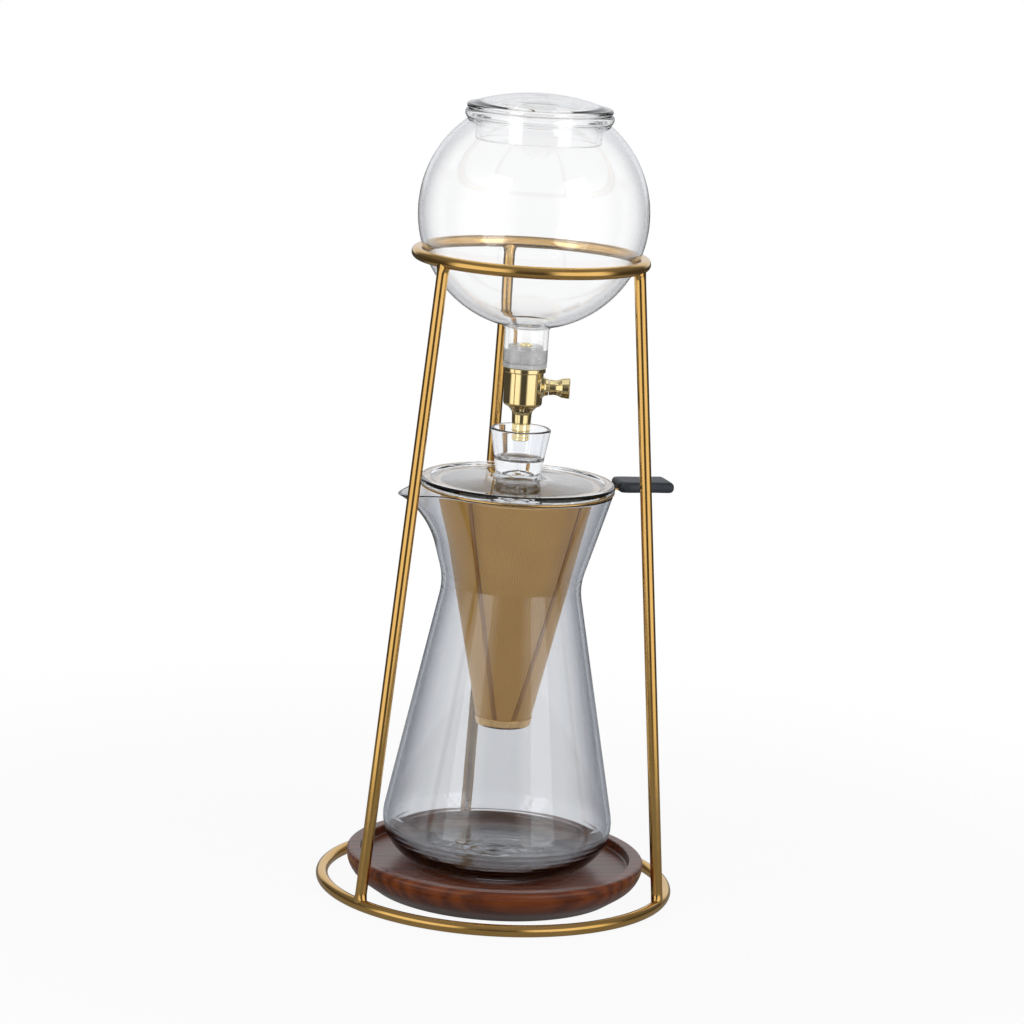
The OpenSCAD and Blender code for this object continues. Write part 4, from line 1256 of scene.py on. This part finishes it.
@dataclass
class WaterGlobe:
    """The blown glass globe with its neck and outlet stem, and its lid."""

    radius: float = 57.0
    wall: float = 2.0
    neck_radius: float = 35.3
    bead_radius: float = 36.5
    bead_height: float = 4.0
    stem_radius: float = 11.0
    stem_length: float = 18.0
    stem_rows: int = 8
    fillet: float = 3.0
    fillet_flare: float = 1.6
    fillet_end: float = 0.2
    ball_rows: int = 90
    cap_radius: float = 35.8
    cap_rim: float = 2.6
    cap_dome: float = 5.8
    cap_step: float = 2.0
    cap_rows: int = 20
    cap_run: float = 3.0
    cap_steps: int = 160
    skirt_radius: float = 31.0
    cap_wall: float = 2.0
    steps: int = 192

    def ball_arc(self, inset: float, low_r: float, high_r: float, middle: float) -> list[Vector]:
        """Draws the ball's outline from the stem's side to the neck's side.

        Args:
            inset: How far inside the outer face it lies.
            low_r: The radius at which it starts, under the middle.
            high_r: The radius at which it ends, above the middle.
            middle: The height of the ball's centre.

        Returns:
            The points, from low to high.
        """
        r = self.radius - inset
        start = -math.acos(low_r / r)
        end = math.acos(high_r / r)
        turns = [start + (end - start) * k / self.ball_rows for k in range(self.ball_rows + 1)]
        return [Vector((r * math.cos(t), middle + r * math.sin(t))) for t in turns]

    def wall_side(self, inset: float, low: float, high: float, middle: float) -> list[Vector]:
        """Draws one face of the wall, from the stem's end up to the neck's top.

        Args:
            inset: How far inside the outer face it lies.
            low: The stem's end.
            high: The neck's top.
            middle: The height of the ball's centre.

        Returns:
            The points, from low to high.
        """
        stem = self.stem_radius - inset
        neck = self.neck_radius - inset
        fillet = self.fillet + inset
        ball = self.radius - inset
        flare = stem + self.fillet_flare * fillet
        arc = self.ball_arc(inset, flare, neck, middle)
        root = middle - math.sqrt(ball ** 2 - stem ** 2)
        bend = corner_arc(Vector((stem, root - 2 * fillet)), Vector((stem, root)), arc[1], fillet)
        bend = [p for p in bend if p.x < flare - self.fillet_end]
        straight = [Vector((stem, low + (bend[0].y - low) * k / self.stem_rows))
                    for k in range(self.stem_rows)]
        return straight + bend + arc[1:-1] + [Vector((neck, arc[-1].y)), Vector((neck, high))]

    def globe(self) -> bpy.types.Object:
        """Makes the globe, open at its stem and its neck.

        Returns:
            The globe.
        """
        low, high = heights("globe")
        middle = low + self.stem_length + math.sqrt(self.radius ** 2 - self.stem_radius ** 2)
        outer = self.wall_side(0.0, low, high, middle)[:-1]
        inner = self.wall_side(self.wall, low, high, middle)
        bead = outline([outer[-1], (self.neck_radius, high - self.bead_height, 0.8),
                        (self.bead_radius, high - self.bead_height, 1.3), (self.bead_radius, high, 1.6),
                        (self.neck_radius - self.wall, high, 0.9), inner[-2]])[1:-1]
        foot = outline([inner[1], (self.stem_radius - self.wall, low, 0.7), (self.stem_radius, low, 0.7),
                        outer[1]])[1:-1]
        return turned("globe_blown", foot + outer[1:] + bead + inner[-2:0:-1], self.steps, closed=True)

    def lid(self) -> bpy.types.Object:
        """Makes the globe's lid: a shallow dome on a thin rim, with a deep skirt.

        Returns:
            The lid.
        """
        low, high = heights("globe_lid")
        rim = high - self.cap_dome
        seat = rim - self.cap_rim
        foot = self.cap_radius - self.cap_step
        ball = (foot ** 2 + self.cap_dome ** 2) / 2 / self.cap_dome
        bore = self.skirt_radius - self.cap_wall
        inner, outer = (dome_arc(radius, high - ball, 0.0, math.asin(reach / radius), self.cap_rows)
                        for radius, reach in ((ball - self.cap_wall, bore), (ball, foot)))
        return turned("globe_lid_pressed", outline([
            *inner[:-1], (*inner[-1], 1.2), (bore, low, 0.95), (self.skirt_radius, low, 0.95),
            (self.skirt_radius, seat, 1), (self.cap_radius, seat, 1.1), (self.cap_radius, rim, 1.1),
            *reversed(outer)], run=self.cap_run), self.cap_steps)

    def build(self) -> None:
        """Makes and dresses the globe and its lid."""
        dress(self.globe(), GLOBE_GLASS, "globe", "globe")
        dress(self.lid(), LID_GLASS, "globe_lid", "globe_lid")


# ---------------------------------------------------------------- needle valve


@dataclass
class NeedleValve:
    """The turned brass valve under the globe: tail, body with its side boss, nozzle, needle and knob.

    The needle lies level. Distances along it run from the valve's upright axis.
    """

    body_radius: float = 9.65
    flange_radius: float = 10.55
    flange: float = 2.4
    cove: float = 3.8
    cove_depth: float = 2.4
    cove_lip: float = 1.0
    base_flare: float = 0.2
    base_height: float = 1.4
    needle_height: float = 14.1
    needle_bore: Span = (2.5, 8.6)
    pocket_depth: float = 5.5
    socket_depth: float = 4.4
    past_face: float = 1.0
    nozzle_radius: float = 4.9
    nozzle_end_radius: float = 4.2
    nozzle_bore: float = 1.7
    nozzle_taper: Span = (1.5, 2.2)
    nozzle_flare: float = 0.1
    nozzle_step: float = 0.5
    nozzle_ridge: float = 0.15
    groove_place: float = 0.35
    groove_width: float = 0.3
    groove_depth: float = 0.4
    thread_radius: float = 3.0
    tail_radius: float = 3.35
    tail_bore: float = 1.7
    boss_reach: float = 12.4
    boss_radius: float = 4.1
    boss_start: float = 2.0
    boss_root: float = 6.6
    boss_neck: float = 4.35
    boss_step: float = 0.9
    knob_angle: float = -18.0
    knob_start: float = 12.7
    neck_length: float = 6.2
    head_length: float = 4.1
    neck_radius: float = 4.0
    waist_radius: float = 3.5
    waist_place: float = 0.55
    head_radius: float = 5.15
    head_edge: float = 0.3
    dish_rim: Span = (1.2, 1.9)
    dish_depth: Span = (0.35, 0.4)
    knob_bore: float = 2.0
    stub: float = 5.0
    push_gap: float = 0.03
    stopper_radius: float = 10.9
    stopper_flange: float = 2.35
    plug_radius: float = 9.03
    plug_taper: Span = (0.4, 2.0)
    fine_run: float = 2.0
    knob_run: float = 1.5
    body_run: float = 3.0
    body_steps: int = 144
    slim_steps: int = 120
    needle_steps: int = 96
    bore_steps: int = 64

    def needle_frame(self) -> Matrix:
        """Works out how a piece turned round Z comes to lie along the needle's axis.

        Returns:
            The transform.
        """
        height = heights("valve_body")[0] + self.needle_height
        turn = Matrix.Rotation(math.radians(self.knob_angle), 4, "Z") @ Matrix.Rotation(math.pi / 2, 4, "Y")
        return Matrix.Translation((0, 0, height * MM)) @ turn

    def lying(self, name: str, points: Sequence[Vector], steps: int,
              closed: bool = False) -> bpy.types.Object:
        """Makes a turned piece that lies along the needle's axis.

        Args:
            name: The piece's name.
            points: Its half outline: radius, and distance along the needle.
            steps: The number of steps in a full turn.
            closed: Whether the outline's last point joins its first.

        Returns:
            The piece.
        """
        bm = spun(points, steps, closed)
        bmesh.ops.transform(bm, matrix=self.needle_frame(), verts=bm.verts)
        return to_object(bm, name)

    @staticmethod
    def plug(radius: float, start: float, end: float) -> list[Vector]:
        """Returns the half outline of a plain round plug, for a hole."""
        return [Vector(corner) for corner in ((0, start), (radius, start), (radius, end), (0, end))]

    def body(self) -> bpy.types.Object:
        """Makes the body with its side boss, bored for the needle, the nozzle and the tail.

        Returns:
            The body.
        """
        low, high = heights("valve_body")
        r, reach = self.body_radius, self.boss_reach
        barrel = turned("barrel", outline([
            (0, low), (self.nozzle_radius, low),
            (self.nozzle_radius + self.base_flare, low + self.base_height, 2.2),
            (r - self.cove_depth, low + self.cove, 1.6), (r, low + self.cove + self.cove_lip, 2),
            (r, high - self.flange, 0.25), (self.flange_radius, high - self.flange, 0.45),
            (self.flange_radius, high, 0.45), (0, high)], run=self.body_run), self.body_steps)
        boss = self.lying("boss", outline([
            (0, self.boss_start), (self.boss_root, self.boss_start),
            (self.boss_root, r - self.boss_step, 0.9), (self.boss_neck, r + self.boss_step, 2.2),
            (self.boss_radius, reach, 0.2), (0, reach)], run=self.body_run), self.needle_steps)
        needle_radius, needle_start = self.needle_bore
        needle_way = self.plug(needle_radius, needle_start, reach + self.past_face)
        nozzle_way = self.plug(self.thread_radius, low - self.past_face, low + self.pocket_depth)
        tail_way = self.plug(self.thread_radius, high - self.socket_depth, high + self.past_face)
        bore = self.lying("bore", needle_way, self.bore_steps)
        pocket = turned("pocket", nozzle_way, self.bore_steps)
        socket = turned("socket", tail_way, self.bore_steps)
        return joined("valve_body_turned", barrel, [
            (boss, Join.ADDED), (bore, Join.CUT_OUT), (pocket, Join.CUT_OUT), (socket, Join.CUT_OUT)])

    def nozzle(self) -> bpy.types.Object:
        """Makes the drip nozzle with its spigot.

        Returns:
            The nozzle.
        """
        low, high = heights("valve_nozzle")
        seat = heights("valve_body")[0] - self.push_gap
        r, end = self.nozzle_radius, self.nozzle_end_radius
        taper_start, taper_end = self.nozzle_taper
        ring = low + (seat - low) * self.groove_place
        land = r - self.groove_depth
        spigot = self.thread_radius - self.push_gap
        return turned("valve_nozzle_turned", outline([
            (self.nozzle_bore, low, 0.3), (end, low, 0.45),
            (end + self.nozzle_flare, low + taper_start, 0.5),
            (r - self.nozzle_step, low + taper_end, 0.4), (land, ring, 0.1),
            (r - self.nozzle_ridge, ring + self.groove_width, 0.2),
            (land, ring + 2 * self.groove_width, 0.1), (r, seat, 0.15), (spigot, seat),
            (spigot, high, 0.3), (self.nozzle_bore, high, 0.2)], closed=True, run=self.fine_run),
            self.slim_steps, closed=True)

    def tail(self) -> bpy.types.Object:
        """Makes the inlet tube that passes through the stopper.

        Returns:
            The tube.
        """
        low, high = heights("valve_tail")
        shoulder = heights("valve_body")[1] + self.push_gap
        thread = self.thread_radius - self.push_gap
        return turned("valve_tail_turned", outline([
            (self.tail_bore, low, 0.2), (thread, low, 0.3), (thread, shoulder),
            (self.tail_radius, shoulder, 0.2), (self.tail_radius, high, 0.5), (self.tail_bore, high, 0.4)],
            closed=True, run=self.fine_run), self.needle_steps, closed=True)

    def stopper(self) -> bpy.types.Object:
        """Makes the silicone stopper, with its flange under the stem.

        Returns:
            The stopper.
        """
        low, high = heights("valve_stopper")
        flange = low + self.stopper_flange
        bore = self.tail_radius + self.push_gap
        inset, height = self.plug_taper
        return turned("stopper_moulded", outline([
            (bore, low, 0.15), (self.stopper_radius, low, 0.5), (self.stopper_radius, flange, 0.5),
            (self.plug_radius, flange), (self.plug_radius, high - height, 1),
            (self.plug_radius - inset, high, 0.5), (bore, high, 0.3)],
            closed=True, run=self.fine_run), self.slim_steps, closed=True)

    def knob(self) -> bpy.types.Object:
        """Makes the knob, with its waisted neck and dished head.

        Returns:
            The knob.
        """
        start = self.knob_start
        head = start + self.neck_length
        end = head + self.head_length
        floor = start + self.stub + self.push_gap
        r = self.head_radius
        return self.lying("valve_knob_turned", outline([
            (self.knob_bore, start, 0.15), (self.neck_radius, start, 0.3),
            (self.waist_radius, start + self.neck_length * self.waist_place, 5),
            (r - self.head_edge, head + self.head_edge, 1.5), (r, end, 0.5), (r - self.dish_rim[0], end, 0.4),
            (r - self.dish_rim[1], end - self.dish_depth[0], 0.3), (0, end - self.dish_depth[1]), (0, floor),
            (self.knob_bore, floor)], closed=True, run=self.knob_run), self.body_steps, closed=True)

    def build(self) -> None:
        """Makes and dresses the valve and its stopper."""
        for piece, node in ((self.body(), "valve_body"), (self.nozzle(), "valve_nozzle"),
                            (self.tail(), "valve_tail")):
            dress(piece, VALVE_BRASS, "globe", node)
        dress(self.knob(), VALVE_BRASS, "knob", "valve_knob")
        dress(self.stopper(), STOPPER_SILICONE, "globe", "valve_stopper")
        dress_node("needle", VALVE_BRASS)
        dress_node("spindle_seal", SEAL_BLACK)


# ---------------------------------------------------------------- studio


@dataclass
class Studio:
    """Camera, lamps, floor and the shell that only reflections see.

    Lengths are in metres here, except the camera's distance and height. The angles of lamps and of the
    shell's bright parts are to the right of the camera's direction, seen from the object.
    """

    focal_px: float = 3948.0
    frame_px: float = 1024.0
    distance: float = 1929.0
    height: float = 573.0
    pitch: float = 11.14
    yaw: float = -0.055
    roll: float = 3.5
    azimuth: float = -17.0
    sensor: float = 36.0
    box_angles: tuple[tuple[str, float], ...] = (("soft_box_left", -42.0), ("soft_box_right", 48.0))
    box_distance: float = 1.35
    box_height: float = 0.45
    box_size: Span = (0.62, 1.7)
    box_radiance: float = 2.4
    aim_height: float = 0.18
    world_strength: Span = (0.45, 1.0)
    floor_radius: float = 0.62
    floor_steps: int = 96
    floor_albedo: float = 0.66
    # Painted shade in reflections: how much dimmer glossy rays see the floor.
    floor_dimming: float = 0.75
    floor_white: Span = (0.93, 1.0)
    floor_fade: Span = (0.15, 0.9)
    shell_radius: float = 4.0
    shell_divisions: int = 5
    box_foot: Span = (-0.42, -0.30)
    box_head: Span = (0.66, 0.52)
    grey_rise: Span = (0.1, 0.9)
    backdrop_foot: Span = (0.02, 0.10)
    shell_dark: Colour = (0.075, 0.07, 0.065, 1.0)
    shell_grey: Colour = (0.30, 0.30, 0.31, 1.0)
    shell_boxes: Colour = (1.22, 1.19, 1.12, 1.0)
    shell_backdrop: Colour = (0.88, 0.90, 0.93, 1.0)
    box_edges: tuple[Span, ...] = ((-86, 0), (-74, 1), (-24, 1), (-14, 0), (18, 0), (28, 1), (74, 1), (90, 0))
    backdrop_edges: tuple[Span, ...] = ((-152, 1), (-138, 0), (138, 0), (152, 1))

    def way(self, angle: float) -> Vector:
        """Returns the level direction an angle to the right of the camera's, seen from the object."""
        turn = math.radians(self.azimuth + angle)
        return Vector((math.sin(turn), -math.cos(turn), 0))

    def camera(self) -> None:
        """Sets up the camera where the photographer's stood."""
        data = bpy.data.cameras.new("camera")
        data.sensor_width = self.sensor
        data.sensor_fit = "HORIZONTAL"
        data.lens = self.focal_px / self.frame_px * self.sensor
        back = self.way(0)
        level = Vector((-back.y, back.x, 0))
        yaw, pitch, roll = (math.radians(v) for v in (self.yaw, self.pitch, self.roll))
        ahead = -back * math.cos(yaw) * math.cos(pitch) + level * math.sin(yaw) * math.cos(pitch)
        ahead.z = -math.sin(pitch)
        right = (level * math.cos(yaw) + back * math.sin(yaw)).normalized()
        up = right.cross(ahead)
        axis_x = right * math.cos(roll) + up * math.sin(roll)
        axis_y = up * math.cos(roll) - right * math.sin(roll)
        turn = Matrix((axis_x, axis_y, -ahead)).transposed()
        camera = bpy.data.objects.new("camera", data)
        camera.matrix_world = Matrix.Translation(
            (back * self.distance + Vector((0, 0, self.height))) * MM) @ turn.to_4x4()
        bpy.context.scene.collection.objects.link(camera)
        bpy.context.scene.camera = camera

    def soft_box(self, name: str, angle: float) -> None:
        """Adds an area lamp that is turned to the object.

        Args:
            name: The lamp's name.
            angle: Its direction from the object.
        """
        data = bpy.data.lights.new(name, "AREA")
        data.shape = "RECTANGLE"
        width, height = self.box_size
        data.size, data.size_y = width, height
        data.energy = self.box_radiance * math.pi * width * height
        lamp = bpy.data.objects.new(name, data)
        lamp.location = self.way(angle) * self.box_distance + Vector((0, 0, self.box_height))
        aim = Vector((0, 0, self.aim_height)) - lamp.location
        lamp.rotation_euler = aim.to_track_quat("-Z", "Y").to_euler()
        lamp.visible_glossy = False
        bpy.context.scene.collection.objects.link(lamp)

    @staticmethod
    def stage_sheet(piece: bpy.types.Object, label: str) -> NodeSheet:
        """Gives a piece of the stage a new material that lights nothing by itself.

        Args:
            piece: The piece.
            label: The material's name.

        Returns:
            The material's empty sheet.
        """
        made = bpy.data.materials.new(label)
        made.cycles.emission_sampling = "NONE"
        piece.data.materials.append(made)
        return empty_sheet(made)

    def shell(self) -> None:
        """Adds the ball that only reflections see: two soft boxes and a backdrop in a dark room."""
        bm = bmesh.new()
        bmesh.ops.create_icosphere(bm, subdivisions=self.shell_divisions, radius=self.shell_radius)
        bmesh.ops.reverse_faces(bm, faces=bm.faces)
        piece = to_object(bm, "reflection_shell")
        for ray in ("camera", "diffuse", "transmission", "shadow", "volume_scatter"):
            setattr(piece, "visible_" + ray, False)
        sheet = self.stage_sheet(piece, "studio seen in reflections")
        parts = sheet.add("SeparateXYZ", {"Vector": sheet.add("TexCoord").outputs["Object"]}).outputs
        turn = sheet.math("ARCTAN2", parts["X"], sheet.math("MULTIPLY", parts["Y"], -1.0))
        share = sheet.math("ADD", sheet.math("DIVIDE", turn, math.tau), 0.5 - self.azimuth / 360)
        boxes, backdrop = (sheet.ramp(sheet.math("FRACT", share), [((angle + 180) / 360, grey(level))
                                                                   for angle, level in edges])
                           for edges in (self.box_edges, self.backdrop_edges))
        height = sheet.math("DIVIDE", parts["Z"], self.shell_radius)
        high = sheet.progress(height, self.box_head)
        box_mask = sheet.math("MULTIPLY", boxes, sheet.progress(height, self.box_foot))
        box_mask = sheet.math("MULTIPLY", box_mask, high)
        wall = sheet.math("MULTIPLY", backdrop, sheet.progress(height, self.backdrop_foot))
        room = sheet.mix(sheet.progress(height, self.grey_rise), self.shell_dark, self.shell_grey)
        room = sheet.mix(sheet.math("MULTIPLY", wall, high), room, self.shell_backdrop)
        glow = sheet.add("Emission", {"Color": sheet.mix(box_mask, room, self.shell_boxes)})
        sheet.add("OutputMaterial", {"Surface": glow.outputs["Emission"]})

    def floor(self) -> None:
        """Lays the round white table top, whose far edge melts into the white background."""
        bm = bmesh.new()
        bmesh.ops.create_circle(bm, cap_ends=True, segments=self.floor_steps, radius=self.floor_radius)
        floor = to_object(bm, "floor")
        sheet = self.stage_sheet(floor, "white table")
        matt = sheet.add("BsdfDiffuse", {"Color": grey(self.floor_albedo)})
        light = sheet.add("LightPath").outputs
        # Glossy rays see the floor dimmer than the camera does: painted shade in its reflections, for the
        # shadowed floor under the object.
        mirrored = sheet.math("SUBTRACT", light["Is Glossy Ray"], light["Is Transmission Ray"])
        painted_reflection_shade = sheet.math("MULTIPLY", sheet.math("MAXIMUM", mirrored, 0.0), -self.floor_dimming)
        glow = sheet.add("Emission", {"Color": grey(1.0), "Strength": sheet.math("ADD", painted_reflection_shade, 1.0)})
        seen = sheet.math("MAXIMUM", light["Is Camera Ray"], light["Is Transmission Ray"])
        away = sheet.add("VectorMath", {0: sheet.add("TexCoord").outputs["Object"]}, operation="LENGTH")
        near, far = self.floor_fade
        fade = sheet.add("MapRange", {"Value": away.outputs["Value"], "From Min": near,
                                      "From Max": self.floor_radius * far, "To Min": self.floor_white[0],
                                      "To Max": self.floor_white[1]}, interpolation_type="SMOOTHSTEP")
        watched = sheet.math("MAXIMUM", seen, light["Is Glossy Ray"])
        share = sheet.math("MULTIPLY", watched, fade.outputs["Result"])
        mix = sheet.add("MixShader", {0: share, 1: matt.outputs["BSDF"], 2: glow.outputs["Emission"]})
        sheet.add("OutputMaterial", {"Surface": mix.outputs["Shader"]})

    def world(self) -> None:
        """Makes the world white where it is seen and gentler where it only lights."""
        world = bpy.data.worlds.new("studio")
        bpy.context.scene.world = world
        sheet = empty_sheet(world)
        light = sheet.add("LightPath").outputs
        seen = sheet.math("MAXIMUM", light["Is Camera Ray"], light["Is Transmission Ray"])
        seen = sheet.math("MAXIMUM", seen, light["Is Glossy Ray"])
        ground = sheet.add("Background", {"Color": grey(1.0),
                                          "Strength": sheet.spread(seen, *self.world_strength)})
        sheet.add("OutputWorld", {"Surface": ground.outputs["Background"]})

    def build(self) -> None:
        """Sets up everything round the object."""
        self.camera()
        self.floor()
        self.world()
        for name, angle in self.box_angles:
            self.soft_box(name, angle)
        self.shell()
        LOG.info("studio ready")


def main() -> None:
    """Builds the tower piece by piece, then the studio."""
    logging.basicConfig(level=logging.INFO, format="%(name)s: %(message)s")
    for assembly in (WireStand(), WoodBase(), Jug(), ConeFilter(), JugLid(), WaterGlobe(), NeedleValve()):
        assembly.build()
    Studio().build()
    bpy.context.scene.view_settings.view_transform = "Standard"


if __name__ == "__main__":
    main()
